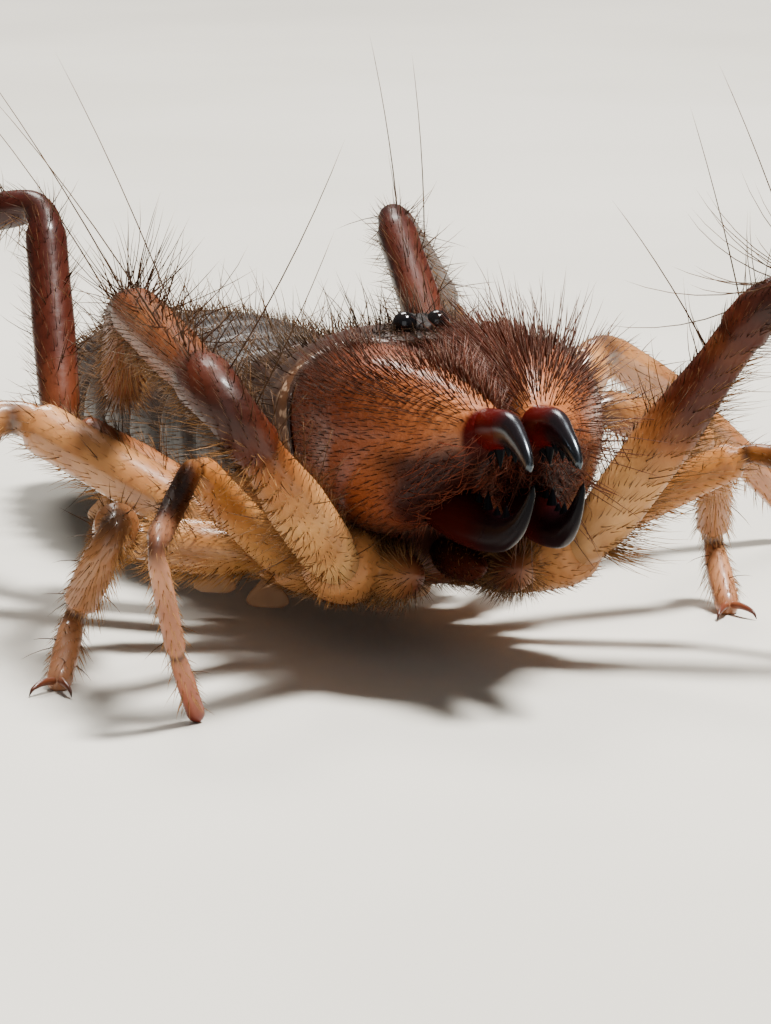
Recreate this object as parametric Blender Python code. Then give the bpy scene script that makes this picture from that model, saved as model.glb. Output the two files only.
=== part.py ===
"""Sun spider standing on its feet: a still model at life size.

The animal faces -Y, its right side is at -X and the floor is at z = 0.
Lengths are in millimetres up to the step that makes each mesh, which turns them into metres.
"""
import math
import random

import bmesh
import bpy
from mathutils import Matrix, Vector
from mathutils.bvhtree import BVHTree

for old in list(bpy.data.objects):
    bpy.data.objects.remove(old, do_unlink=True)

# Driving sizes in millimetres
METRES = 0.001
GAP = 0.3
EYE_GAP = 0.2
WELD = 0.001
RIGHT = -1
LEFT = 1
SIDES = {"right": RIGHT, "left": LEFT}
CENTRE_SHIFT = Vector((-1.706, -10.767, 0.0))

SHIELD_FRONT = -0.9
SHIELD_BACK = 5.5
SHIELD_FLOOR = 7.0
THORAX_BACK = 10.5
ABDOMEN_LENGTH = 27.5
ABDOMEN_SEGMENTS = 10
ABDOMEN_SPLITS = (0, 3, 7, 10)
EYE_RADIUS = 0.46
EYE_CENTRE = (0.62, -0.42, 12.0)
SOLE_AXIS_HEIGHT = 0.12
# Width, depth and height of the slit at the end of the abdomen
ANAL_SLIT = (0.35, 1.2, 1.5)
CLAWED = ("leg2", "leg3", "leg4")

# Length and mid radius of each limb segment: coxa, femur, patella, tibia and tarsus,
# with a long trochanter after the coxa on the hind leg
SEGMENTS = {
    "palp": ((5.3, 1.5), (11.2, 1.15), (14.0, 1.05), (10.5, 0.95), (3.0, 0.8)),
    "leg1": ((4.4, 1.15), (8.0, 0.75), (7.6, 0.45), (4.4, 0.38), (3.0, 0.34)),
    "leg2": ((4.1, 1.25), (5.4, 1.05), (6.0, 0.85), (4.4, 0.68), (3.5, 0.5)),
    "leg3": ((4.3, 1.4), (9.6, 1.05), (7.4, 0.85), (6.6, 0.66), (3.8, 0.46)),
    "leg4": ((4.7, 1.6), (6.5, 1.1), (9.6, 0.85), (12.0, 0.8), (11.0, 0.62), (5.0, 0.42)),
}
# Inner end of each coxa: distance from the middle plane, y and z
COXA_STARTS = {
    "palp": (2.4, 0.1, 3.4),
    "leg1": (1.3, 1.8, 3.0),
    "leg2": (1.2, 3.0, 2.9),
    "leg3": (1.2, 5.1, 2.9),
    "leg4": (1.3, 7.0, 3.0),
}
# Yaw forward of straight sideways and pitch upward of each segment, in degrees.
# A leg's tarsus has no pitch of its own: it drops to the floor.
ANGLES = {
    "palp_right": ((64, 10), (46, 38), (-94, 6), (-106, -24), (-106, -12)),
    "palp_left": ((64, 10), (33, 55), (25, -8), (45, -42), (50, -30)),
    "leg1_right": ((28, 8), (43, 34), (62, -11), (-132, -66), (-132, None)),
    "leg1_left": ((28, 8), (30, 27), (52, -6), (20, -58), (20, None)),
    "leg2_right": ((12, 10), (-20, 5), (75, 17), (-60, -60), (62, None)),
    "leg2_left": ((12, 10), (0, 62), (-12, -22), (-70, -62), (100, None)),
    "leg3_right": ((-6, 11), (-45, 24), (5, -18), (-10, -38), (-10, None)),
    "leg3_left": ((-6, 11), (-41, 34), (-30, -28), (-20, -40), (-20, None)),
    "leg4_right": ((-30, 14), (-51, 21), (-100, 56), (-58, -12), (-58, -60), (-58, None)),
    "leg4_left": ((-30, 14), (-79, 40), (-83, 29), (-58, -25), (-50, -35), (-50, None)),
}
LIMB_SIDES = {"palp": 12, "leg1": 8, "leg2": 10, "leg3": 10, "leg4": 10}
JOINT_WAIST = 0.84
# Share of a segment's length and share of its radius
MUSCLE = ((0.14, 0.95), (0.45, 1.0), (0.8, 0.94))

# Bristles: sides and root radius, share of the radius left half way, root depth and lean
BRISTLE_SIDES = 4
BRISTLE_RADIUS = 0.25
BRISTLE_HALF_WAY = 0.62
BRISTLE_ROOT = 0.42
BRISTLE_LEAN = 0.45
BRISTLE_BOW = 0.07
# Room a bristle keeps from the floor, from other nodes and from their bristles
FLOOR_ROOM = 0.35
NODE_ROOM = 0.6
BRISTLE_ROOM = 0.8
GOLDEN_TURN = math.radians(137.5)
# Bristles on each piece of a limb, and their shortest and longest length
LIMB_BRISTLES = {
    "palp": ((8, 2.0, 3.6), (9, 2.0, 4.2), (7, 1.6, 3.0)),
    "leg1": ((2, 1.2, 2.0), (2, 1.2, 2.0), (2, 1.0, 1.4)),
    "leg2": ((3, 1.6, 2.6), (4, 1.6, 2.8), (6, 1.2, 2.2)),
    "leg3": ((4, 1.6, 3.0), (4, 1.6, 3.0), (6, 1.4, 2.4)),
    "leg4": ((6, 2.0, 4.0), (6, 2.0, 4.6), (7, 1.6, 3.4)),
}
# Very long hairs of a limb: segment, share of its length, yaw, pitch and length
LONG_HAIRS = {
    "palp_right": ((2, 0.95, -37, 60, 9.2), (2, 0.3, -48, 70, 11.2), (2, 0.5, -36, 58, 9.8),
                   (2, 0.12, 175, 50, 8.0), (3, 0.3, -20, 62, 9.0), (1, 0.85, 150, 62, 6.0)),
    "palp_left": ((1, 0.72, -141, 61, 5.6), (1, 0.88, -121, 75, 6.4), (2, 0.1, -121, 74, 8.0),
                  (2, 0.35, -60, 70, 9.5), (2, 0.65, -100, 64, 8.5), (3, 0.2, -80, 62, 8.0)),
    "leg4_right": ((3, 0.15, -60, 62, 7.0), (3, 0.6, -100, 66, 8.0)),
    "leg4_left": ((3, 0.15, -80, 62, 7.0), (3, 0.6, -60, 66, 8.0)),
}
HAND_BRISTLES = (15, 1.6, 3.0)
SHIELD_BRISTLES = (6, 1.0, 1.8)
ABDOMEN_BRISTLES = (8, 2.0, 3.6)
draw = random.Random(21)
pieces = {}

COLOURS = {
    "shield": (0.055, 0.032, 0.022),
    "eye": (0.004, 0.004, 0.005),
    "hand": (0.30, 0.085, 0.028),
    "fang": (0.020, 0.006, 0.006),
    "belly": (0.36, 0.19, 0.08),
    "abdomen": (0.035, 0.030, 0.032),
    "palp": (0.40, 0.20, 0.075),
    "leg": (0.42, 0.24, 0.13),
    "hind": (0.20, 0.085, 0.065),
}


def paint(thing, colour, roughness):
    """Give one object its own plain material."""
    finish = bpy.data.materials.new(thing.name + "_finish")
    finish.use_nodes = True
    shader = finish.node_tree.nodes["Principled BSDF"]
    shader.inputs["Base Color"].default_value = (*COLOURS[colour], 1.0)
    shader.inputs["Roughness"].default_value = roughness
    shader.inputs["Metallic"].default_value = 0.0
    thing.data.materials.append(finish)


def skin(rings, tip=None):
    """Close a row of rings, each a list of points, into one solid, with a tip if asked."""
    mesh = bmesh.new()
    loops = [[mesh.verts.new(point) for point in ring] for ring in rings]
    for near, far in zip(loops, loops[1:]):
        count = len(near)
        for i in range(count):
            j = (i + 1) % count
            mesh.faces.new((near[i], near[j], far[j], far[i]))
    mesh.faces.new(list(reversed(loops[0])))
    if tip is None:
        mesh.faces.new(loops[-1])
    else:
        point = mesh.verts.new(tip)
        rim = loops[-1]
        for i, corner in enumerate(rim):
            mesh.faces.new((corner, rim[(i + 1) % len(rim)], point))
    bmesh.ops.recalc_face_normals(mesh, faces=mesh.faces)
    return mesh


def slice_off(mesh, point, outward):
    """Cut a closed mesh by a plane, drop what lies outward and close the cut."""
    every = mesh.verts[:] + mesh.edges[:] + mesh.faces[:]
    cut = bmesh.ops.bisect_plane(
        mesh, geom=every, dist=0.0001, plane_co=point, plane_no=outward, clear_outer=True
    )
    rim = [item for item in cut["geom_cut"] if isinstance(item, bmesh.types.BMEdge)]
    if rim:
        bmesh.ops.contextual_create(mesh, geom=rim)
    bmesh.ops.recalc_face_normals(mesh, faces=mesh.faces)
    return mesh


def volume_of(faces):
    """Volume inside a closed set of faces."""
    total = 0.0
    for face in faces:
        corners = [corner.co for corner in face.verts]
        for second, third in zip(corners[1:], corners[2:]):
            total += corners[0].dot(second.cross(third)) / 6.0
    return total


def keep_largest(mesh):
    """Keep only the largest closed surface of a mesh."""
    left = set(mesh.faces)
    shells = []
    while left:
        seed = left.pop()
        shell = [seed]
        front = [seed]
        while front:
            face = front.pop()
            for edge in face.edges:
                for other in edge.link_faces:
                    if other in left:
                        left.remove(other)
                        shell.append(other)
                        front.append(other)
        shells.append(shell)
    shells.sort(key=volume_of, reverse=True)
    loose = [face for shell in shells[1:] for face in shell]
    if loose:
        bmesh.ops.delete(mesh, geom=loose, context="FACES")
    return mesh


def plain_object(mesh, name, collection):
    """Turn a mesh in millimetres into an object of the given collection."""
    data = bpy.data.meshes.new(name)
    mesh.to_mesh(data)
    mesh.free()
    thing = bpy.data.objects.new(name, data)
    collection.objects.link(thing)
    return thing


def combine(base, others, operation):
    """Fuse or cut closed meshes with one Boolean on a collection of them.

    The MANIFOLD solver takes over where EXACT leaves a mesh that isn't closed.
    """
    scene_root = bpy.context.scene.collection
    tools = bpy.data.collections.new("tools")
    scene_root.children.link(tools)
    main = plain_object(base, "main", scene_root)
    for number, other in enumerate(others):
        plain_object(other, "tool_%03d" % number, tools)
    cut = main.modifiers.new("cut", "BOOLEAN")
    cut.operation = operation
    cut.operand_type = "COLLECTION"
    cut.collection = tools
    for solver in ("EXACT", "MANIFOLD"):
        cut.solver = solver
        graph = bpy.context.evaluated_depsgraph_get()
        result = bmesh.new()
        result.from_mesh(main.evaluated_get(graph).to_mesh())
        bmesh.ops.remove_doubles(result, verts=result.verts, dist=WELD)
        bmesh.ops.triangulate(result, faces=result.faces)
        keep_largest(result)
        if all(edge.is_manifold for edge in result.edges):
            break
    for tool in list(tools.objects):
        bpy.data.objects.remove(tool, do_unlink=True)
    bpy.data.collections.remove(tools)
    bpy.data.objects.remove(main, do_unlink=True)
    return result


def place(mesh, name, colour, roughness, sharp_degrees=35):
    """Make the finished object of one node, in metres."""
    move = Matrix.Scale(METRES, 4) @ Matrix.Translation(CENTRE_SHIFT)
    bmesh.ops.transform(mesh, matrix=move, verts=mesh.verts)
    thing = plain_object(mesh, name, bpy.context.scene.collection)
    thing.data.shade_smooth()
    thing.data.set_sharp_from_angle(angle=math.radians(sharp_degrees))
    paint(thing, colour, roughness)
    return thing


def signed_power(value, power):
    """Raise a sine or cosine to a power and keep its sign."""
    return math.copysign(abs(value) ** power, value)


def oval(y, middle, inner, outer, low, high, side, count, squareness=2.2):
    """Ring across the body: half widths inward and outward, half heights below and above."""
    ring = []
    for step in range(count):
        turn = math.tau * step / count
        across = signed_power(math.cos(turn), 2 / squareness)
        upward = signed_power(math.sin(turn), 2 / squareness)
        x = middle[0] + across * (outer if across > 0 else inner)
        z = middle[1] + upward * (high if upward > 0 else low)
        ring.append(Vector((side * x, y, z)))
    return ring


def heading(side, yaw, pitch):
    """Unit vector of a limb segment from its yaw and pitch in degrees."""
    flat = math.cos(math.radians(pitch))
    return Vector(
        (
            side * flat * math.cos(math.radians(yaw)),
            -flat * math.sin(math.radians(yaw)),
            math.sin(math.radians(pitch)),
        )
    )


def limb_joints(limb, side_name):
    """Joint positions of a limb from the inner end of its coxa to its tip."""
    side = SIDES[side_name]
    inward, y, z = COXA_STARTS[limb]
    joints = [Vector((side * inward, y, z))]
    rows = zip(SEGMENTS[limb], ANGLES[limb + "_" + side_name])
    for (length, _), (yaw, pitch) in rows:
        if pitch is None:
            drop = joints[-1].z - SOLE_AXIS_HEIGHT
            pitch = -math.degrees(math.asin(drop / length))
        joints.append(joints[-1] + heading(side, yaw, pitch) * length)
    return joints


def bend(joint, before, after, radius):
    """Stations round one joint: points and directions along an arc, its apex in the middle."""
    angle = before.angle(after)
    reach = radius * (0.5 + 1.15 * math.tan(angle / 2))
    steps = 2 * max(1, round(angle / math.radians(50)))
    arc_radius = reach / math.tan(angle / 2)
    axis = before.cross(after).normalized()
    start = joint - before * reach
    centre = start + axis.cross(before) * arc_radius
    stations = []
    for step in range(steps + 1):
        turn = Matrix.Rotation(angle * step / steps, 3, axis)
        stations.append((centre + turn @ (start - centre), turn @ before))
    return stations


def limb_stations(limb, side_name):
    """Stations of each segment of a limb: point, direction and radius.

    The limb is parted with a gap at three joints; the others only narrow.
    """
    joints = limb_joints(limb, side_name)
    radii = [radius for _, radius in SEGMENTS[limb]]
    runs = [(b - a).normalized() for a, b in zip(joints, joints[1:])]
    parted = (1, len(runs) - 3, len(runs) - 2)
    knees = {}
    for i in range(1, len(runs)):
        waist = JOINT_WAIST * min(radii[i - 1], radii[i])
        knees[i] = (bend(joints[i], runs[i - 1], runs[i], waist), waist)
    segments = []
    for i, run in enumerate(runs):
        start = joints[i]
        end = joints[i + 1]
        head = [(start, run, 0.55 * radii[i])]
        if i > 0:
            arc, waist = knees[i]
            half = arc[len(arc) // 2:]
            slide = half[0][1] * (GAP / 2 if i in parted else 0.0)
            head = [(point + slide, way, waist) for point, way in half]
            if i not in parted:
                head = head[1:]
            start = half[-1][0]
        tail = [
            (end - run * 0.25 * radii[i], run, radii[i] * 0.85),
            (end + run * 0.3 * radii[i], run, radii[i] * 0.55),
        ]
        if i + 1 < len(runs):
            arc, waist = knees[i + 1]
            half = arc[: len(arc) // 2 + 1]
            slide = half[-1][1] * (GAP / 2 if i + 1 in parted else 0.0)
            tail = [(point - slide, way, waist) for point, way in half]
            end = half[0][0]
        middle = [
            (start.lerp(end, share), run, radii[i] * swell) for share, swell in MUSCLE
        ]
        segments.append(head + middle + tail)
    return segments


def tube(stations, count, tip=None):
    """Round solid along stations of point, direction and radius."""
    across = stations[0][1].orthogonal().normalized()
    rings = []
    for point, way, radius in stations:
        across = (across - way * across.dot(way)).normalized()
        upward = way.cross(across)
        ring = []
        for step in range(count):
            turn = math.tau * step / count
            ring.append(point + (across * math.cos(turn) + upward * math.sin(turn)) * radius)
        rings.append(ring)
    return skin(rings, tip)


def keep(mesh, name, colour, roughness, forms=(), sites=(), sharp_degrees=35):
    """Set one node's solid aside with the forms to fuse to it and the sites of its bristles.

    A site is a point inside the solid, the way out of it, the way the bristle leans
    and its length.
    """
    pieces[name] = {
        "mesh": mesh, "colour": colour, "roughness": roughness, "forms": list(forms),
        "sites": list(sites), "sharp": sharp_degrees,
    }


def bristle(foot, outward, tip):
    """Tapered bristle of few sides with a sunk root, bowed a little towards its lean."""
    root = foot - outward * BRISTLE_ROOT
    half_way = foot.lerp(tip, 0.5) + outward * (tip - foot).length * BRISTLE_BOW
    stations = [
        (root, (half_way - root).normalized(), BRISTLE_RADIUS),
        (half_way, (tip - foot).normalized(), BRISTLE_RADIUS * BRISTLE_HALF_WAY),
    ]
    return tube(stations, BRISTLE_SIDES, tip)


def grow_bristles(name, trees, taken):
    """Bristles at a node's sites, left out where they would come near something else."""
    grown = []
    for inside, outward, along, length in pieces[name]["sites"]:
        foot = trees[name].ray_cast(inside + outward * length * 4, -outward)[0]
        if foot is None:
            continue
        tip = foot + (outward + along * BRISTLE_LEAN).normalized() * length
        spots = [foot.lerp(tip, share) for share in (0.0, 0.3, 0.6, 1.0)]
        others = [tree for other, tree in trees.items() if other != name]
        blocked = min(spot.z for spot in spots) < FLOOR_ROOM
        for spot in spots:
            blocked = blocked or any(tree.find_nearest(spot, NODE_ROOM)[0] for tree in others)
            blocked = blocked or any((spot - old).length < BRISTLE_ROOM for old in taken)
        if not blocked:
            grown.append(bristle(foot, outward, tip))
            taken.extend(spots)
    return grown


def finish_nodes():
    """Fuse each node's forms and bristles to it and make the objects."""
    trees = {name: BVHTree.FromBMesh(piece["mesh"]) for name, piece in pieces.items()}
    taken = []
    for name, piece in pieces.items():
        forms = piece["forms"] + grow_bristles(name, trees, taken)
        mesh = piece["mesh"]
        if forms:
            mesh = combine(mesh, forms, "UNION")
        place(mesh, name, piece["colour"], piece["roughness"], piece["sharp"])


def curved_spike(points, radii, count):
    """Round solid through a few points, with its direction taken from them."""
    stations = []
    for i, point in enumerate(points):
        before = points[max(i - 1, 0)]
        after = points[min(i + 1, len(points) - 1)]
        stations.append((point, (after - before).normalized(), radii[i]))
    return tube(stations, count)


# Chelicera hand: y, half height, outer half width, centre height, for its rings from back to front
HAND_MIDDLE = 2.6
HAND_RINGS = (
    (0.9, 1.9, 1.6, 8.9),
    (0.2, 2.7, 2.15, 8.8),
    (-1.2, 3.25, 2.5, 8.75),
    (-3.2, 3.5, 2.65, 8.75),
    (-5.0, 3.4, 2.55, 8.75),
    (-6.6, 2.8, 2.2, 8.85),
    (-7.9, 2.1, 1.75, 9.0),
    (-8.9, 1.45, 1.25, 9.25),
    (-9.6, 0.9, 0.8, 9.4),
)
HAND_TAPER_START = -5.0
HAND_TAPER = 0.33
HAND_INNER_FACE = 0.17
FIXED_FINGER = ((1.02, -8.0, 9.35), (0.92, -10.2, 9.7), (0.87, -11.4, 9.85),
                (0.86, -12.3, 9.55), (0.88, -12.95, 9.2), (0.9, -13.45, 8.75))
FIXED_RADII = (0.84, 0.72, 0.56, 0.38, 0.27, 0.1)
FREE_FINGER = ((1.5, -6.7, 6.6), (1.32, -8.4, 6.4), (1.2, -9.9, 6.25), (1.08, -11.3, 6.3),
               (0.98, -12.4, 6.75), (0.92, -13.2, 7.5), (0.9, -13.75, 8.35))
FREE_RADII = (0.9, 0.95, 0.8, 0.6, 0.42, 0.27, 0.1)
FINGER_SIDES = 10
HAND_SIDES = 20
# Teeth along each finger: y, height above the finger and root radius
FIXED_TEETH = ((-9.8, 0.6, 0.34), (-10.5, 0.8, 0.34), (-11.2, 0.4, 0.28), (-11.8, 0.55, 0.28),
               (-12.4, 0.3, 0.25))
FREE_TEETH = ((-9.4, 0.4, 0.32), (-10.1, 0.7, 0.34), (-10.8, 0.35, 0.28), (-11.5, 0.5, 0.28))
TOOTH_SIDES = 5


def hand_solid(side, grow=0.0):
    """Hand of one chelicera, flatter on its inner face, grown on all sides when asked."""
    rings = []
    for i, (y, half_height, half_width, height) in enumerate(HAND_RINGS):
        push = grow if i == 0 else 0.0
        taper = HAND_TAPER * max(0.0, HAND_TAPER_START - y)
        middle = (HAND_MIDDLE - taper, height)
        inner = min(half_width, middle[0] - HAND_INNER_FACE) + grow
        rings.append(
            oval(y + push, middle, inner, half_width + grow, half_height + grow,
                 half_height + grow, side, HAND_SIDES)
        )
    return skin(rings)


def finger_solid(points, radii, side, grow=0.0):
    """Curved finger of one chelicera."""
    placed = [Vector((side * x, y, z)) for x, y, z in points]
    placed[0] += (placed[0] - placed[1]).normalized() * grow
    return curved_spike(placed, [radius + grow for radius in radii], FINGER_SIDES)


def tooth_row(points, radii, teeth, side, upward):
    """Teeth along the biting edge of a finger, their roots on its middle line."""
    solids = []
    for y, height, root_radius in teeth:
        for i, (near, far) in enumerate(zip(points, points[1:])):
            if near[1] >= y >= far[1]:
                share = (y - near[1]) / (far[1] - near[1])
                middle = Vector(near).lerp(Vector(far), share)
                reach = radii[i] + (radii[i + 1] - radii[i]) * share
        root = Vector((side * middle.x, y, middle.z))
        way = Vector((0.0, -0.2, upward)).normalized()
        stations = [(root, way, root_radius), (root + way * reach * 0.95, way, root_radius)]
        solids.append(tube(stations, TOOTH_SIDES, root + way * (reach + height)))
    return solids


def hand_sites(side):
    """Bristle sites over the upper half of a hand, leaning back from its finger."""
    count, shortest, longest = HAND_BRISTLES
    sites = []
    for i in range(count):
        y = -7.0 + 6.2 * (i + 0.5) / count
        turn = math.radians(20 + 140 * ((i * 0.618) % 1.0))
        outward = Vector((side * math.cos(turn), 0.0, math.sin(turn)))
        inside = Vector((side * HAND_MIDDLE, y, HAND_RINGS[4][3]))
        sites.append((inside, outward, Vector((0.0, 1.0, 0.0)), draw.uniform(shortest, longest)))
    return sites


def build_chelicera(side_name):
    """Hand with the toothed fixed finger, and the free finger below it as its own node."""
    side = SIDES[side_name]
    hand = hand_solid(side)
    hand = combine(hand, [finger_solid(FIXED_FINGER, FIXED_RADII, side)], "UNION")
    hand = combine(hand, [finger_solid(FREE_FINGER, FREE_RADII, side, GAP)], "DIFFERENCE")
    teeth = tooth_row(FIXED_FINGER, FIXED_RADII, FIXED_TEETH, side, -1.0)
    keep(hand, "chelicera_" + side_name, "hand", 0.45, teeth, hand_sites(side))
    free = finger_solid(FREE_FINGER, FREE_RADII, side)
    teeth = tooth_row(FREE_FINGER, FREE_RADII, FREE_TEETH, side, 1.0)
    keep(free, "chelicera_finger_" + side_name, "fang", 0.25, teeth)


def eye_solid(side, grow=0.0):
    """Round eye beside the middle of the eye mound."""
    ball = bmesh.new()
    bmesh.ops.create_icosphere(ball, subdivisions=2, radius=EYE_RADIUS + grow)
    x, y, z = EYE_CENTRE
    bmesh.ops.translate(ball, vec=(side * x, y, z), verts=ball.verts)
    return ball


def build_shield():
    """Head shield with the eye mound on its front edge."""
    rings = []
    for y, half_width, half_height, power in (
        (SHIELD_FRONT - 0.4, 4.6, 3.0, 2.6),
        (SHIELD_FRONT + 0.4, 5.25, 3.9, 2.6),
        (0.8, 5.4, 4.2, 2.4),
        (2.4, 5.3, 4.1, 2.3),
        (4.2, 4.9, 3.7, 2.2),
        (SHIELD_BACK + 0.4, 4.3, 3.1, 2.2),
    ):
        rings.append(oval(y, (0.0, 7.4), half_width, half_width, 2.0, half_height, 1, 28, power))
    shell = skin(rings)
    mound = bmesh.new()
    bmesh.ops.create_uvsphere(mound, u_segments=14, v_segments=8, radius=1.0)
    bmesh.ops.scale(mound, vec=(1.1, 0.8, 0.75), verts=mound.verts)
    bmesh.ops.translate(mound, vec=(0.0, -0.1, 11.75), verts=mound.verts)
    shell = combine(shell, [mound], "UNION")
    cutters = [hand_solid(side, GAP) for side in SIDES.values()]
    cutters += [eye_solid(side, EYE_GAP) for side in SIDES.values()]
    shell = combine(shell, cutters, "DIFFERENCE")
    slice_off(shell, Vector((0.0, 0.0, SHIELD_FLOOR)), Vector((0.0, 0.0, -1.0)))
    slice_off(shell, Vector((0.0, SHIELD_BACK, 0.0)), Vector((0.0, 1.0, 0.0)))
    count, shortest, longest = SHIELD_BRISTLES
    sites = []
    for i in range(count):
        turn = math.pi * (i + 1) / (count + 1)
        outward = Vector((math.cos(turn), 0.0, math.sin(turn)))
        inside = Vector((0.0, 2.2 + 1.4 * (i % 2), 8.0))
        sites.append((inside, outward, Vector((0.0, 1.0, 0.0)), draw.uniform(shortest, longest)))
    keep(shell, "head_shield", "shield", 0.4, (), sites)
    for side_name, side in SIDES.items():
        keep(eye_solid(side), "eye_" + side_name, "eye", 0.05, sharp_degrees=180)


def build_thorax():
    """Two narrow back plates between the head shield and the abdomen."""
    rings = []
    start = SHIELD_BACK + GAP
    for share, half_width, top in (
        (0.0, 3.7, 10.0), (0.12, 4.15, 10.5), (0.42, 4.1, 10.4), (0.5, 3.8, 10.0),
        (0.58, 4.1, 10.3), (0.88, 4.0, 10.0), (1.0, 3.5, 9.4),
    ):
        y = start + share * (THORAX_BACK - start)
        rings.append(oval(y, (0.0, 7.2), half_width, half_width, 1.6, top - 7.2, 1, 20))
    plates = skin(rings)
    slice_off(plates, Vector((0.0, 0.0, SHIELD_FLOOR)), Vector((0.0, 0.0, -1.0)))
    keep(plates, "thorax_plates", "shield", 0.45)


# Lobe in front of each feeler's coxa: distance from the middle plane, y, z and radius
COXA_LOBE = ((2.3, -1.5, 3.6, 0.9), (2.2, -3.2, 3.6, 0.95), (2.1, -4.3, 3.7, 0.85), (2.0, -5.0, 3.8, 0.5))


def build_coxae(side_name, coxa_meshes, forms):
    """Five fused coxae of one side with the flank above them."""
    side = SIDES[side_name]
    rings = []
    for y, half_width, low, high in (
        (-2.3, 1.7, 0.9, 0.9), (-1.6, 2.6, 1.4, 1.6), (1.0, 3.9, 1.9, 2.6),
        (5.0, 4.4, 1.9, 2.6), (8.6, 4.2, 1.8, 2.6), (THORAX_BACK, 3.3, 1.4, 2.3),
    ):
        rings.append(oval(y, (0.0, 4.2), half_width, half_width, low, high, 1, 20, 2.4))
    flank = skin(rings)
    slice_off(flank, Vector((side * GAP / 2, 0.0, 0.0)), Vector((-side, 0.0, 0.0)))
    lobe_points = [Vector((side * x, y, z)) for x, y, z, _ in COXA_LOBE]
    lobe = curved_spike(lobe_points, [radius for _, _, _, radius in COXA_LOBE], 10)
    fused = combine(flank, coxa_meshes + [lobe], "UNION")
    slice_off(fused, Vector((0.0, 0.0, SHIELD_FLOOR - GAP)), Vector((0.0, 0.0, 1.0)))
    fused = combine(fused, [hand_solid(RIGHT, GAP), hand_solid(LEFT, GAP)], "DIFFERENCE")
    keep(fused, "coxae_" + side_name, "belly", 0.5, forms)


def build_rostrum():
    """Small beak between the chelicerae and the front coxae."""
    points = [Vector((0.0, y, z)) for y, z in ((-2.7, 4.15), (-3.6, 4.1), (-5.2, 4.1), (-6.4, 4.25))]
    keep(curved_spike(points, (0.5, 0.72, 0.62, 0.28), 10), "rostrum", "fang", 0.4)


def abdomen_size(share):
    """Half width, half height and centre height of the abdomen at a share of its length."""
    width = 5.2 * math.sin(math.pi * (0.17 + 0.76 * share)) ** 0.6
    height = 0.76 * width
    return width, height, 5.9 - 2.0 * share ** 1.5


def abdomen_rings(start, pitch, first, last):
    """Rings of a length of the abdomen, each segment swelling between two folds."""
    profile = [(0.0, 0.93), (0.22, 1.0), (0.78, 1.0)]
    rows = [(segment + share, swell) for segment in range(first, last) for share, swell in profile]
    rows[0] = (first + (GAP / pitch if first > 0 else 0.0), 0.93)
    if last == ABDOMEN_SEGMENTS:
        rows[-1] = (last - 0.5, 0.97)
        rows += [(last - 0.2, 0.8), (last, 0.48)]
    else:
        rows.append((last, 0.93))
    rings = []
    for place_along, swell in rows:
        width, height, centre = abdomen_size(place_along / ABDOMEN_SEGMENTS)
        width *= swell
        height *= swell
        y = start + place_along * pitch
        rings.append(oval(y, (0.0, centre), width, width, height, height, 1, 20))
    return rings


def build_abdomen():
    """Ten soft rings, wider in the middle, in three lengths, with the slit at the end."""
    names = ("abdomen_front", "abdomen_middle", "abdomen_tail")
    start = THORAX_BACK + GAP
    pitch = ABDOMEN_LENGTH / ABDOMEN_SEGMENTS
    for name, first, last in zip(names, ABDOMEN_SPLITS, ABDOMEN_SPLITS[1:]):
        mesh = skin(abdomen_rings(start, pitch, first, last))
        count, shortest, longest = ABDOMEN_BRISTLES
        sites = []
        for i in range(count):
            along = first + (last - first) * (i + 0.5) / count
            turn = math.radians(12 + 156 * ((i * 0.618) % 1.0))
            outward = Vector((math.cos(turn), 0.0, math.sin(turn)))
            inside = Vector((0.0, start + along * pitch, abdomen_size(along / ABDOMEN_SEGMENTS)[2]))
            length = draw.uniform(shortest, longest)
            sites.append((inside, outward, Vector((0.0, 1.0, 0.0)), length))
        if last == ABDOMEN_SEGMENTS:
            slit = bmesh.new()
            bmesh.ops.create_cube(slit, size=1.0)
            bmesh.ops.scale(slit, vec=ANAL_SLIT, verts=slit.verts)
            end = Vector((0.0, start + ABDOMEN_LENGTH, abdomen_size(1.0)[2]))
            bmesh.ops.translate(slit, vec=end, verts=slit.verts)
            mesh = combine(mesh, [slit], "DIFFERENCE")
        keep(mesh, name, "abdomen", 0.3, (), sites)


# Claws: length, height of their arch and spread from the foot's heading
CLAW_LENGTH = 1.5
CLAW_ARCH = 0.5
CLAW_SPREAD = math.radians(30)
CLAW_RADII = (0.25, 0.22, 0.15)
CLAW_TIP_HEIGHT = 0.12
# Racket organs under the hind leg: distance below the limb's middle line and half width
FAN_PROFILE = ((0.0, 0.27), (0.45, 0.27), (0.75, 0.55), (0.93, 0.8), (1.0, 0.6))
FAN_HALF_THICKNESS = 0.25
FAN_REACH = 1.5
# Segment of the hind leg and share of its length for each racket organ
FAN_PLACES = ((0, 0.42), (0, 0.86), (1, 0.3), (1, 0.68), (2, 0.16))


def claw_pair(joints):
    """Two claws that leave the foot level, arch up and end just above the floor."""
    tip = joints[-1]
    run = (tip - joints[-2]).normalized()
    level = Vector((run.x, run.y, 0.0)).normalized()
    claws = []
    for turn in (-CLAW_SPREAD, CLAW_SPREAD):
        way = Matrix.Rotation(turn, 3, "Z") @ level
        root = tip - run * 0.5
        root.z = max(root.z, CLAW_RADII[0] + 0.1)
        arch = tip + way * CLAW_LENGTH * 0.5
        arch.z = CLAW_ARCH
        bend_point = tip + way * CLAW_LENGTH * 0.85
        bend_point.z = CLAW_ARCH * 0.75
        end = tip + way * CLAW_LENGTH
        end.z = CLAW_TIP_HEIGHT
        stations = [
            (root, (arch - root).normalized(), CLAW_RADII[0]),
            (arch, way, CLAW_RADII[1]),
            (bend_point, (end - arch).normalized(), CLAW_RADII[2]),
        ]
        claws.append(tube(stations, 5, end))
    return claws


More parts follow.
